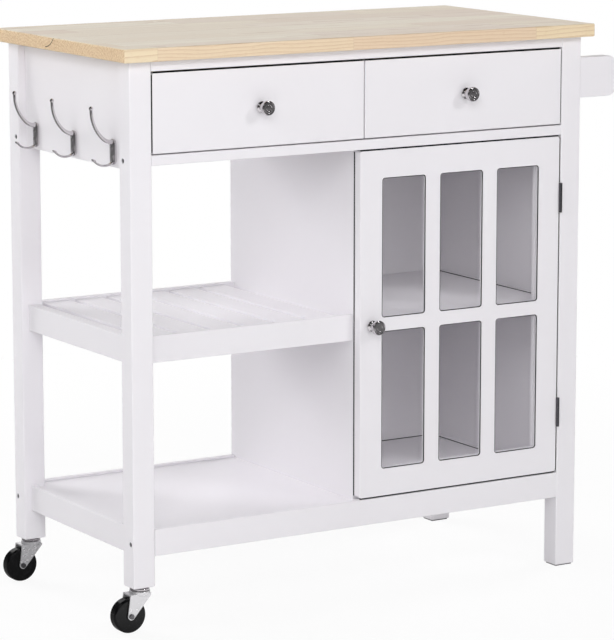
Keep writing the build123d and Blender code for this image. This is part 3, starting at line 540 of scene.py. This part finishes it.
def copyOf(piece, name, matrix):  # a copy with its own mesh, moved inside the mesh
    twin = piece.copy()
    twin.data = piece.data.copy()
    twin.name = twin.data.name = name
    twin.data.transform(matrix)
    bpy.context.collection.objects.link(twin)
    return twin


def settle(piece, body, slot, material, *replaced):  # hands the finished piece to the body that carries it
    piece.data.materials.clear()
    piece.data.materials.append(material)
    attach(piece, body)
    if replaced:
        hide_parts(*replaced)


# coat hooks: cast double hooks with a corded rim round the plate, sizes in mm and angles in degrees
hook = {
    "nodes": ("coat_hook_front", "coat_hook_middle", "coat_hook_rear"),
    "tipAbovePlate": 65.2,      # from the plate's middle to the highest point
    "plateHeight": 37.0,
    "plateWidth": 15.0,
    "plateThickness": 2.6,
    "plateEdge": 0.35,
    "bossInset": 2.2,
    "bossSteps": (              # how far out, then the scale across and along
        (0.7, 0.93, 0.97), (0.8, 0.8, 0.9), (0.5, 0.62, 0.84), (0.2, 0.4, 0.8)),
    "cords": 30,                # turns of the corded rim
    "cordRadius": 1.45,
    "cordStretch": (0.95, 1.3, 0.8),
    "cordLean": 28.0,
    "rimInset": 0.9,
    "root": 14.0,               # above and below the plate's middle
    "rootDepth": 1.75,
    "upperHeading": 0.0,
    "upperArcs": ((25.89, 44.13), (56.7, 45.87)),   # radius and turn of each
    "upperSection": ((4.4, 5.0), (3.5, 3.2), (3.1, 2.0)),  # half width and half thickness: root, neck, tip
    "upperTip": 3.4,
    "lowerHeading": -42.08,
    "lowerArcs": ((21.45, 89.84),),
    "lowerSection": ((4.0, 3.6), (3.4, 2.6), (2.7, 1.9)),
    "lowerTip": 3.1,
    "neckAt": 0.2,              # share of the prong's length
    "stepsPerArc": 7,
    "ballRings": (-45, -15, 15, 45, 75),   # latitudes of the rings that draw the ball at the tip
    "ballSink": 0.85,           # radii that the ball's middle lies ahead of the prong's end
}


def prongStations(rootZ, heading, arcs, section, tipRadius):
    # x, z, heading, half width and half thickness at each step along the prong
    x, z, heading = -hook["rootDepth"], rootZ, radians(heading)
    total = sum(turn for _, turn in arcs)
    root, neck, tip = section
    neckAt, turned = hook["neckAt"], 0.0
    stations = [(x, z, heading) + root]
    for radius, turn in arcs:
        step = radians(turn) / hook["stepsPerArc"]
        for _ in range(hook["stepsPerArc"]):
            x, z = x + radius * sin(heading), z + radius * cos(heading)
            heading += step
            x, z = x - radius * sin(heading), z - radius * cos(heading)
            turned += turn / hook["stepsPerArc"] / total
            if turned < neckAt:
                near, far, share = root, neck, turned / neckAt
            else:
                near, far, share = neck, tip, (turned - neckAt) / (1 - neckAt)
            stations.append((x, z, heading) + tuple(a + (b - a) * share for a, b in zip(near, far)))
    for latitude in hook["ballRings"]:
        ahead = tipRadius * (sin(radians(latitude)) + hook["ballSink"])
        girth = tipRadius * cos(radians(latitude))
        stations.append((x - ahead * cos(heading), z + ahead * sin(heading), heading, girth, girth))
    return stations


def hookProng(name, stations):
    # the end face is drawn out from station to station, turned and tapered as it goes
    x, z, heading, wide, thick = stations[0]
    bpy.ops.object.select_all(action="DESELECT")
    bpy.ops.mesh.primitive_cylinder_add(vertices=12, radius=mm, depth=mm, rotation=(0, pi / 2, 0),
                                        location=((x + 0.5) * mm, 0, z * mm))
    prong = openPiece(name)
    bpy.ops.mesh.select_all(action="SELECT")
    bpy.ops.transform.resize(value=(1, wide, thick), center_override=(x * mm, 0, z * mm))
    pickFaces(lambda middle, normal: normal.x < -0.9)
    for before, after in zip(stations, stations[1:]):
        pivot = (after[0] * mm, 0, after[1] * mm)
        slide = ((after[0] - before[0]) * mm, 0, (after[1] - before[1]) * mm)
        bpy.ops.mesh.extrude_region_move(TRANSFORM_OT_translate={"value": slide})
        bpy.ops.transform.rotate(value=before[2] - after[2], orient_axis="Y", center_override=pivot)
        taper = after[4] / before[4]
        bpy.ops.transform.resize(value=(taper, after[3] / before[3], taper), center_override=pivot)
    bpy.ops.mesh.select_all(action="SELECT")
    bpy.ops.mesh.normals_make_consistent(inside=False)
    bpy.ops.object.mode_set(mode="OBJECT")
    finishWith(prong, "SUBSURF", levels=2, render_levels=2)
    return prong


def hookPlate():  # a round blank, drawn out to an oblong, with a domed boss raised from its face
    half, thick = hook["plateWidth"] / 2, hook["plateThickness"]
    stretch = (hook["plateHeight"] - hook["plateWidth"]) / 2
    bpy.ops.object.select_all(action="DESELECT")
    bpy.ops.mesh.primitive_cylinder_add(vertices=48, radius=half * mm, depth=thick * mm,
                                        rotation=(0, pi / 2, 0), location=(-thick / 2 * mm, 0, 0))
    plate = openPiece("hookPlate")
    for side in (1, -1):
        pickVertices(lambda place: place.z * side > 0.01 * mm)
        bpy.ops.transform.translate(value=(0, 0, side * stretch * mm))
    pickFaces(lambda middle, normal: normal.x < -0.9)
    bpy.ops.mesh.inset(thickness=hook["bossInset"] * mm, depth=0)
    for rise, narrow, shorten in hook["bossSteps"]:
        bpy.ops.mesh.extrude_region_move(TRANSFORM_OT_translate={"value": (-rise * mm, 0, 0)})
        bpy.ops.transform.resize(value=(1, narrow, shorten))
    bpy.ops.object.mode_set(mode="OBJECT")
    softenEdges(plate, hook["plateEdge"], 3, 25)
    return plate


def cordedRim():  # one slanted bead, repeated along the plate's outline
    bpy.ops.object.select_all(action="DESELECT")
    bpy.ops.mesh.primitive_uv_sphere_add(segments=8, ring_count=6, radius=hook["cordRadius"] * mm)
    bead = openPiece("rimBead")
    bpy.ops.mesh.select_all(action="SELECT")
    bpy.ops.transform.resize(value=hook["cordStretch"])
    bpy.ops.transform.rotate(value=radians(hook["cordLean"]), orient_axis="X", center_override=(0, 0, 0))
    bpy.ops.object.mode_set(mode="OBJECT")
    side = hook["plateHeight"] - hook["plateWidth"]
    bow = hook["plateWidth"] / 2 - hook["rimInset"]
    lap = 2 * side + 2 * pi * bow
    beads = []
    for turn in range(hook["cords"]):
        along = lap * turn / hook["cords"]
        if along < side:
            y, z, lean = bow, along - side / 2, 0.0
        elif along < side + pi * bow:
            lean = (along - side) / bow
            y, z = bow * cos(lean), side / 2 + bow * sin(lean)
        elif along < 2 * side + pi * bow:
            y, z, lean = -bow, side / 2 - (along - side - pi * bow), pi
        else:
            lean = pi + (along - 2 * side - pi * bow) / bow
            y, z = bow * cos(lean), -side / 2 + bow * sin(lean)
        place = Matrix.Translation((-hook["plateThickness"] * mm, y * mm, z * mm))
        beads.append(copyOf(bead, "rimBead%02d" % turn, place @ Matrix.Rotation(lean, 4, "X")))
    bpy.data.objects.remove(bead)
    return joined(*beads)


def coatHooks():
    upper = hookProng("upperProng", prongStations(hook["root"], hook["upperHeading"], hook["upperArcs"],
                                                  hook["upperSection"], hook["upperTip"]))
    lower = hookProng("lowerProng", prongStations(-hook["root"], hook["lowerHeading"], hook["lowerArcs"],
                                                  hook["lowerSection"], hook["lowerTip"]))
    model = joined(hookPlate(), upper, lower, cordedRim())
    bpy.ops.object.shade_smooth_by_angle(angle=radians(40))
    for node in hook["nodes"]:
        low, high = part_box(node)
        place = (high[0], (low[1] + high[1]) / 2, high[2] - hook["tipAbovePlate"] * mm)
        piece = copyOf(model, node.replace("coat_hook_", "castHook_"), Matrix.Translation(place))
        settle(piece, "cart_frame", "chrome", chromePlate, node)
    bpy.data.objects.remove(model)


coatHooks()
print("coat hooks modelled")


# knobs: turned foot, slim neck, and a head that flares to a flat face with a ring in it, sizes in mm
turnedKnob = {
    "sides": 48,
    "footRadius": 8.5,
    "footHeight": 1.4,
    "outline": (         # radius and distance from the wood, from the foot to the middle of the face
        (8.1, 1.9), (6.9, 2.2), (5.8, 3.1), (5.0, 4.4), (4.8, 5.8), (5.2, 7.2), (6.6, 8.8), (8.4, 10.6),
        (10.0, 12.6), (10.9, 14.8), (11.2, 17.0), (11.2, 18.6), (11.0, 19.8), (10.5, 20.7), (9.7, 21.1),
        (9.1, 21.05), (8.7, 20.6), (8.3, 20.6), (7.9, 21.1), (5.4, 21.3), (4.9, 21.25), (4.6, 21.0),
        (4.2, 21.0), (3.9, 21.35), (1.4, 21.5)),
    "owners": {"left_drawer_knob": "left_drawer", "right_drawer_knob": "right_drawer", "door_knob": "door"},
}


def flaredKnobs():
    foot, rise = turnedKnob["footRadius"], turnedKnob["footHeight"]
    bpy.ops.object.select_all(action="DESELECT")
    bpy.ops.mesh.primitive_cylinder_add(vertices=turnedKnob["sides"], radius=foot * mm, depth=rise * mm,
                                        rotation=(pi / 2, 0, 0), location=(0, -rise / 2 * mm, 0))
    model = openPiece("flaredKnob")
    pickFaces(lambda middle, normal: normal.y < -0.9)
    for girth, reach in turnedKnob["outline"]:
        bpy.ops.mesh.extrude_region_move(TRANSFORM_OT_translate={"value": (0, (rise - reach) * mm, 0)})
        bpy.ops.transform.resize(value=(girth / foot, 1, girth / foot), center_override=(0, -reach * mm, 0))
        foot, rise = girth, reach
    bpy.ops.object.mode_set(mode="OBJECT")
    bpy.ops.object.shade_smooth_by_angle(angle=radians(38))
    for node, body in turnedKnob["owners"].items():
        low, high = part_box(node)
        place = ((low[0] + high[0]) / 2, low[1] + rise * mm, (low[2] + high[2]) / 2)
        piece = copyOf(model, body.replace("_d", "D") + "FlaredKnob", Matrix.Translation(place))
        settle(piece, body, "chrome", chromePlate, node)
    bpy.data.objects.remove(model)


flaredKnobs()
print("knobs turned")


# gap shade: slim black strips standing in the gaps round the drawers and the door, painted shade that makes
# the gaps read dark, sizes in mm
gapShade = {
    "colour": "#141315",
    "fibre": "#262527",
    "fibreSize": 0.7,
    "setBack": 1.2,      # behind the front
    "depth": 2.5,
    "fromEnd": 2.0,
    "edge": 0.2,
    "drawerTop": 2.2,    # how far each stands out into its gap
    "drawerSide": 1.4,
    "doorEdge": 1.8,
    "doorRear": 0.45,
    "hingeLength": 46.0,
    "hingeGap": 1.0,
}


def gapShadeBlack():  # near black and matt, painted shade for the gaps
    material, tree, shader, place = newMaterial("gapShadeBlack", Roughness=1.0, Specular_IOR_Level=0.1)
    _, tone = mottle(tree, place, gapShade["fibreSize"], 3.0, (gapShade["colour"], gapShade["fibre"]))
    feed(tree, shader, Base_Color=tone)
    return material


# a soft-edged black bar, the painted shade laid into gaps and joints
def shadeBar(name, low, high):
    bpy.ops.object.select_all(action="DESELECT")
    bpy.ops.mesh.primitive_cube_add(size=1.0, location=[(a + b) / 2 for a, b in zip(low, high)])
    bpy.context.object.scale = [b - a for a, b in zip(low, high)]
    strip = openPiece(name)
    bpy.ops.mesh.select_all(action="SELECT")
    bpy.ops.mesh.subdivide(number_cuts=3)
    bpy.ops.object.mode_set(mode="OBJECT")
    softenEdges(strip, gapShade["edge"], 2, 40)
    return strip


def drawerStrips():  # painted shade: one along the top of each drawer front and one down its outer edge
    end = gapShade["fromEnd"] * mm
    for side, outward in (("left", -1), ("right", 1)):
        low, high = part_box(side + "_drawer_front")
        front = low[1] + gapShade["setBack"] * mm
        back = front + gapShade["depth"] * mm
        top = shadeBar(side + "DrawerStrip", (low[0] + end, front, high[2]),
                        (high[0] - end, back, high[2] + gapShade["drawerTop"] * mm))
        edge = low[0] if outward < 0 else high[0]
        left, right = sorted((edge, edge + outward * gapShade["drawerSide"] * mm))
        flank = shadeBar(side + "DrawerEdgeStrip", (left, front, low[2] + end), (right, back, high[2] - end))
        settle(joined(top, flank), side + "_drawer", "pad_felt", gapShadeFinish)


def doorStrips():  # painted shade along top and bottom, down the hinge edge clear of the hinges, and behind the free edge
    thick, end = gapShade["doorEdge"] * mm, gapShade["fromEnd"] * mm
    low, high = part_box("door_panel")
    front = low[1] + gapShade["setBack"] * mm
    back = front + gapShade["depth"] * mm
    head = shadeBar("doorStrip", (low[0] + end, front, high[2]), (high[0] - end, back, high[2] + thick))
    sill = shadeBar("doorSillStrip", (low[0] + end, front, low[2] - thick), (high[0] - end, back, low[2]))
    hingeLow, hingeHigh = (corner[2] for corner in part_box("hinge_frame_leaves"))
    leaf, gap = gapShade["hingeLength"] * mm, gapShade["hingeGap"] * mm
    runs = ((low[2] + end, hingeLow - gap), (hingeLow + leaf + gap, hingeHigh - leaf - gap),
            (hingeHigh + gap, high[2] - end))
    heels = [shadeBar("doorHeelStrip%d" % (turn + 1), (high[0], front, start), (high[0] + thick, back, stop))
             for turn, (start, stop) in enumerate(runs)]
    rearLeft, rearFront = low[0] - gapShade["doorRear"] * mm, high[1] - gapShade["depth"] * mm
    rear = shadeBar("doorRearStrip", (rearLeft, rearFront, low[2] + end), (low[0], high[1], high[2] - end))
    settle(joined(head, sill, rear, *heels), "door", "pad_felt", gapShadeFinish)


gapShadeFinish = gapShadeBlack()
drawerStrips()
doorStrips()
print("gap shade strips fitted")


# joint shade: black lines that close the joints of the loose shelf and the cabinet floor with the walls,
# painted shade for the shadow in those joints
jointShade = {"width": 1.1, "behindLeg": 36.0}  # mm


def jointShades():
    width, front = jointShade["width"] * mm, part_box("right_front_leg")[0][1] + jointShade["behindLeg"] * mm
    wall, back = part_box("right_side_panel")[0][0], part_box("cabinet_back")[0][1]
    left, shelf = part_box("partition")[1][0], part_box("cabinet_shelf")[1][2]
    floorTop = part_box("bottom_shelf")[1][2]
    inner = wall - width
    cords = [shadeBar("shelfShadeLine", (inner, front, shelf), (wall, back, shelf + width)),
             shadeBar("floorSideShadeLine", (inner, front, floorTop), (wall, back, floorTop + width)),
             shadeBar("floorRearShadeLine", (left, back - width, floorTop), (inner, back, floorTop + width))]
    settle(joined(*cords), "cart_frame", "pad_felt", gapShadeFinish)


jointShades()
print("joint shade lines laid")


# lite shade: a slim black lip just inside the front edge of each of the door's six lites, painted shade that
# draws the shadow line round each lite, sizes in mm
glazing = {
    "colour": "#1B1A1C",
    "paler": "#262527",
    "roughness": 0.7,
    "palerSize": 2.5,
    "width": 1.3,
    "setBack": 0.25,
    "depth": 1.5,
    "cornerRadius": 5.0,
    "pillow": 0.3,
    "columns": 3,
    "rows": 2,
    "stile": 39.0,       # the door's wood round the lites, as in the CAD
    "rail": 42.0,
    "muntin": 26.0,
    "crossbar": 21.0,
}


def liteShadeBlack():  # matt near black with faint paler patches, painted shade round the lites
    material, tree, shader, place = newMaterial("liteShadeBlack", Roughness=glazing["roughness"])
    _, tone = mottle(tree, place, glazing["palerSize"], 2.0, (glazing["colour"], glazing["paler"]))
    feed(tree, shader, Base_Color=tone)
    return material


# the black lips are painted shade, set at the front edge where the shadow line round each lite shows
def liteShadeLips():
    low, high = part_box("door_panel")
    stile, rail = glazing["stile"] * mm, glazing["rail"] * mm
    muntin, crossbar = glazing["muntin"] * mm, glazing["crossbar"] * mm
    stepX = (high[0] - low[0] - 2 * stile + muntin) / glazing["columns"]
    stepZ = (high[2] - low[2] - 2 * rail + crossbar) / glazing["rows"]
    liteWidth, liteHeight = stepX - muntin, stepZ - crossbar
    depth, middleY = glazing["depth"] * mm, low[1] + (glazing["setBack"] + glazing["depth"] / 2) * mm
    bpy.ops.object.select_all(action="DESELECT")
    bpy.ops.mesh.primitive_cube_add(size=1.0)
    bpy.context.object.scale = (liteWidth, depth, liteHeight)
    lip = openPiece("glazingSeal")
    mesh = bmesh.from_edit_mesh(lip.data)
    for edge in mesh.edges:  # the four edges that run front to back
        edge.select_set(abs(edge.verts[0].co.y - edge.verts[1].co.y) > depth / 2)
    bmesh.update_edit_mesh(lip.data)
    bpy.ops.mesh.bevel(offset=glazing["cornerRadius"] * mm, segments=6)
    pickFaces(lambda middle, normal: abs(normal.y) > 0.9)
    bpy.ops.mesh.inset(thickness=glazing["width"] * mm, depth=0)
    bpy.ops.mesh.bridge_edge_loops()
    bpy.ops.object.mode_set(mode="OBJECT")
    softenEdges(lip, glazing["pillow"], 2, 40)
    bpy.ops.object.shade_smooth_by_angle(angle=radians(50))
    lips = []
    for column in range(glazing["columns"]):
        for row in range(glazing["rows"]):
            place = (low[0] + stile + liteWidth / 2 + column * stepX, middleY,
                     low[2] + rail + liteHeight / 2 + row * stepZ)
            lips.append(copyOf(lip, "glazingSeal%d" % (len(lips) + 1), Matrix.Translation(place)))
    bpy.data.objects.remove(lip)
    settle(joined(*lips), "door", "wheel_plastic", liteShadeBlack())


liteShadeLips()
print("lite shade lips fitted")


# floor, world, lamps and camera, in metres and degrees
camera = {
    "azimuth": -31.54,
    "elevation": 10.12,
    "distance": 5.065,
    "target": (-0.0088, 0.0025, 0.4007),
    "focal": 3248.6,     # pixels of the 614 x 640 picture
    "pictureHeight": 640,
    "sensor": 36.0,      # mm
}

studio = {
    "floorColour": "#F4F4F4",
    "floorRadius": 40.0,
    "floorLift": 0.9,       # how much white is mixed into what the camera sees of the floor
    "openRadius": 0.8,      # where the floor starts to melt into the white
    "whiteRadius": 1.9,     # where it is white
    "beamHalfAngle": (22.0, 40.0),  # from the camera's side, where mirrored floor turns from white to dark
    "worldLevel": 0.1,
    "tentRadius": 4.3,      # a dark wall round the front that only reflections see
    "tentHeight": 3.6,
    "tentOpening": (-0.9, 1.0),  # X and Y past which the wall is left out
    "tentLow": 0.2,         # its level at the floor
    "tentHigh": 0.02,       # and from the fade's height up
    "tentFade": 1.5,
}

lamps = {   # place, aim, width and height, watts, and whether shiny parts mirror it
    "keyBox": ((1.6, -3.2, 2.6), (0, 0, 0.5), (0.7, 0.7), 30, True),
    "fillBox": ((-1.8, -3.6, 2.0), (0, 0, 0.4), (3.0, 2.4), 77, False),
    "lowBox": ((0.2, -3.4, 0.8), (0.15, 0, 0.35), (1.6, 1.0), 8, False),
    "glintBox": ((-2.0, -2.6, 2.6), (0, 0, 0.6), (1.8, 1.1), 9, True),
    "leftBox": ((-3.3, -0.5, 2.1), (0, 0, 0.4), (2.2, 1.8), 31, False),
    "backBox": ((-1.4, 3.4, 1.6), (-0.2, 0, 0.35), (2.4, 1.6), 114, False),
    "sideBox": ((3.6, 0.4, 1.5), (0.3, 0, 0.45), (1.8, 1.8), 72, False),
    "edgeBox": ((-1.1, 2.9, 2.7), (-0.4, 0, 0.86), (1.2, 0.5), 5, True),
}

cabinetLamps = {   # two faint ones that stand in for light that scatters inside the cabinet
    "heights": {"upperCabinetBox": 0.675, "lowerCabinetBox": 0.405},
    "place": (0.13, -0.1),
    "size": (0.26, 0.1),
    "watts": 0.115,
    "spread": 120,
}


def seenDirectly(tree):  # 1 for what the camera sees, mirrored or through glass too, and 0 for other light
    ray = addNode(tree, "ShaderNodeLightPath").outputs
    mirrored = addNode(tree, "ShaderNodeMath", {0: ray["Is Camera Ray"], 1: ray["Is Glossy Ray"]},
                       operation="MAXIMUM")
    direct = addNode(tree, "ShaderNodeMath", {0: mirrored, 1: ray["Is Transmission Ray"]},
                     operation="MAXIMUM")
    return direct, ray["Is Glossy Ray"]


def studioFloor():
    bpy.ops.object.select_all(action="DESELECT")
    bpy.ops.mesh.primitive_circle_add(vertices=96, radius=studio["floorRadius"], fill_type="NGON")
    floor = bpy.context.object
    floor.name = "studioFloor"
    material, tree, shader, place = newMaterial("studioFloor", Base_Color=linear(studio["floorColour"]),
                                                Roughness=0.9)
    away = addNode(tree, "ShaderNodeVectorMath", {0: place}, operation="LENGTH").outputs["Value"]
    melt = addNode(tree, "ShaderNodeMapRange", {0: away, 1: studio["openRadius"], 2: studio["whiteRadius"]},
                   interpolation_type="SMOOTHSTEP")
    direct, glossy = seenDirectly(tree)
    outward = addNode(tree, "ShaderNodeVectorMath", {0: place}, operation="NORMALIZE")
    azimuth = radians(camera["azimuth"])
    towards = addNode(tree, "ShaderNodeVectorMath", {0: outward, 1: (sin(azimuth), -cos(azimuth), 0.0)},
                      operation="DOT_PRODUCT").outputs["Value"]
    inner, outer = (cos(radians(angle)) for angle in studio["beamHalfAngle"])
    aside = addNode(tree, "ShaderNodeMapRange", {0: towards, 1: outer, 2: inner, 3: 1.0, 4: 0.0})
    dimmed = addNode(tree, "ShaderNodeMath", {0: aside, 1: glossy}, operation="MULTIPLY")
    level = addNode(tree, "ShaderNodeMapRange", {0: dimmed, 3: 1.0, 4: studio["tentLow"]})
    white = addNode(tree, "ShaderNodeEmission", {"Color": (1, 1, 1, 1), "Strength": level})
    lifted = addNode(tree, "ShaderNodeMixShader", {0: studio["floorLift"], 1: shader, 2: white})
    near = addNode(tree, "ShaderNodeMixShader", {0: direct, 1: shader, 2: lifted})
    far = addNode(tree, "ShaderNodeMath", {0: melt, 1: direct}, operation="MULTIPLY")
    surface = addNode(tree, "ShaderNodeMixShader", {0: far, 1: near, 2: white})
    feed(tree, tree.nodes["Material Output"], Surface=surface)
    floor.data.materials.append(material)


def studioWorld():
    world = bpy.data.worlds.new("studioWorld")
    bpy.context.scene.world = world
    world.use_nodes = True
    tree = world.node_tree
    direct, _ = seenDirectly(tree)
    level = addNode(tree, "ShaderNodeMapRange", {0: direct, 3: studio["worldLevel"], 4: 1.0})
    background = tree.nodes["Background"]
    background.inputs["Color"].default_value = (1, 1, 1, 1)
    feed(tree, background, Strength=level)


def darkTent():  # wall and roof round the front, seen only by reflections, which gives chrome its contrast
    bpy.ops.object.select_all(action="DESELECT")
    bpy.ops.mesh.primitive_cylinder_add(vertices=64, radius=studio["tentRadius"], depth=studio["tentHeight"],
                                        location=(0, 0, studio["tentHeight"] / 2))
    tent = openPiece("darkTent")
    openX, openY = studio["tentOpening"]
    pickFaces(lambda middle, normal: normal.z < -0.5
              or (middle.y > openY and middle.x > openX and normal.z < 0.5))
    bpy.ops.mesh.delete(type="FACE")
    bpy.ops.object.mode_set(mode="OBJECT")
    material, tree, shader, place = newMaterial("darkTent")
    height = addNode(tree, "ShaderNodeSeparateXYZ", {0: place}).outputs["Z"]
    level = addNode(tree, "ShaderNodeMapRange",
                    {0: height, 1: 0.0, 2: studio["tentFade"], 3: studio["tentLow"], 4: studio["tentHigh"]})
    glow = addNode(tree, "ShaderNodeEmission", {"Color": (1, 1, 1, 1), "Strength": level})
    feed(tree, tree.nodes["Material Output"], Surface=glow)
    tent.data.materials.append(material)
    for ray in ("camera", "diffuse", "transmission", "shadow", "volume_scatter"):
        setattr(tent, "visible_" + ray, False)


def softbox(name, place, aim, size, watts, mirrored, spread=180):
    light = bpy.data.lights.new(name, "AREA")
    light.shape = "RECTANGLE"
    light.size, light.size_y = size
    light.energy = watts
    light.spread = radians(spread)
    lamp = bpy.data.objects.new(name, light)
    lamp.location = place
    lamp.rotation_euler = (Vector(aim) - Vector(place)).to_track_quat("-Z", "Y").to_euler()
    bpy.context.collection.objects.link(lamp)
    lamp.visible_camera = False
    lamp.visible_glossy = mirrored
    lamp.visible_transmission = mirrored


def photoCamera():
    data = bpy.data.cameras.new("photoCamera")
    data.sensor_width = camera["sensor"]
    data.sensor_fit = "AUTO"
    data.lens = camera["focal"] * camera["sensor"] / camera["pictureHeight"]
    data.clip_end = 100.0
    eye = bpy.data.objects.new("photoCamera", data)
    bpy.context.collection.objects.link(eye)
    azimuth, elevation = radians(camera["azimuth"]), radians(camera["elevation"])
    back = Vector((sin(azimuth) * cos(elevation), -cos(azimuth) * cos(elevation), sin(elevation)))
    eye.location = Vector(camera["target"]) + back * camera["distance"]
    eye.rotation_mode = "QUATERNION"
    eye.rotation_quaternion = (-back).to_track_quat("-Z", "Y")
    bpy.context.scene.camera = eye


studioFloor()
studioWorld()
for name, (place, aim, size, watts, mirrored) in lamps.items():
    softbox(name, place, aim, size, watts, mirrored)
lampX, lampY = cabinetLamps["place"]
for name, height in cabinetLamps["heights"].items():
    softbox(name, (lampX, lampY, height), (lampX, lampY, 0), cabinetLamps["size"], cabinetLamps["watts"],
            False, cabinetLamps["spread"])
darkTent()
photoCamera()
bpy.context.scene.view_settings.view_transform = "Standard"
print("studio set")
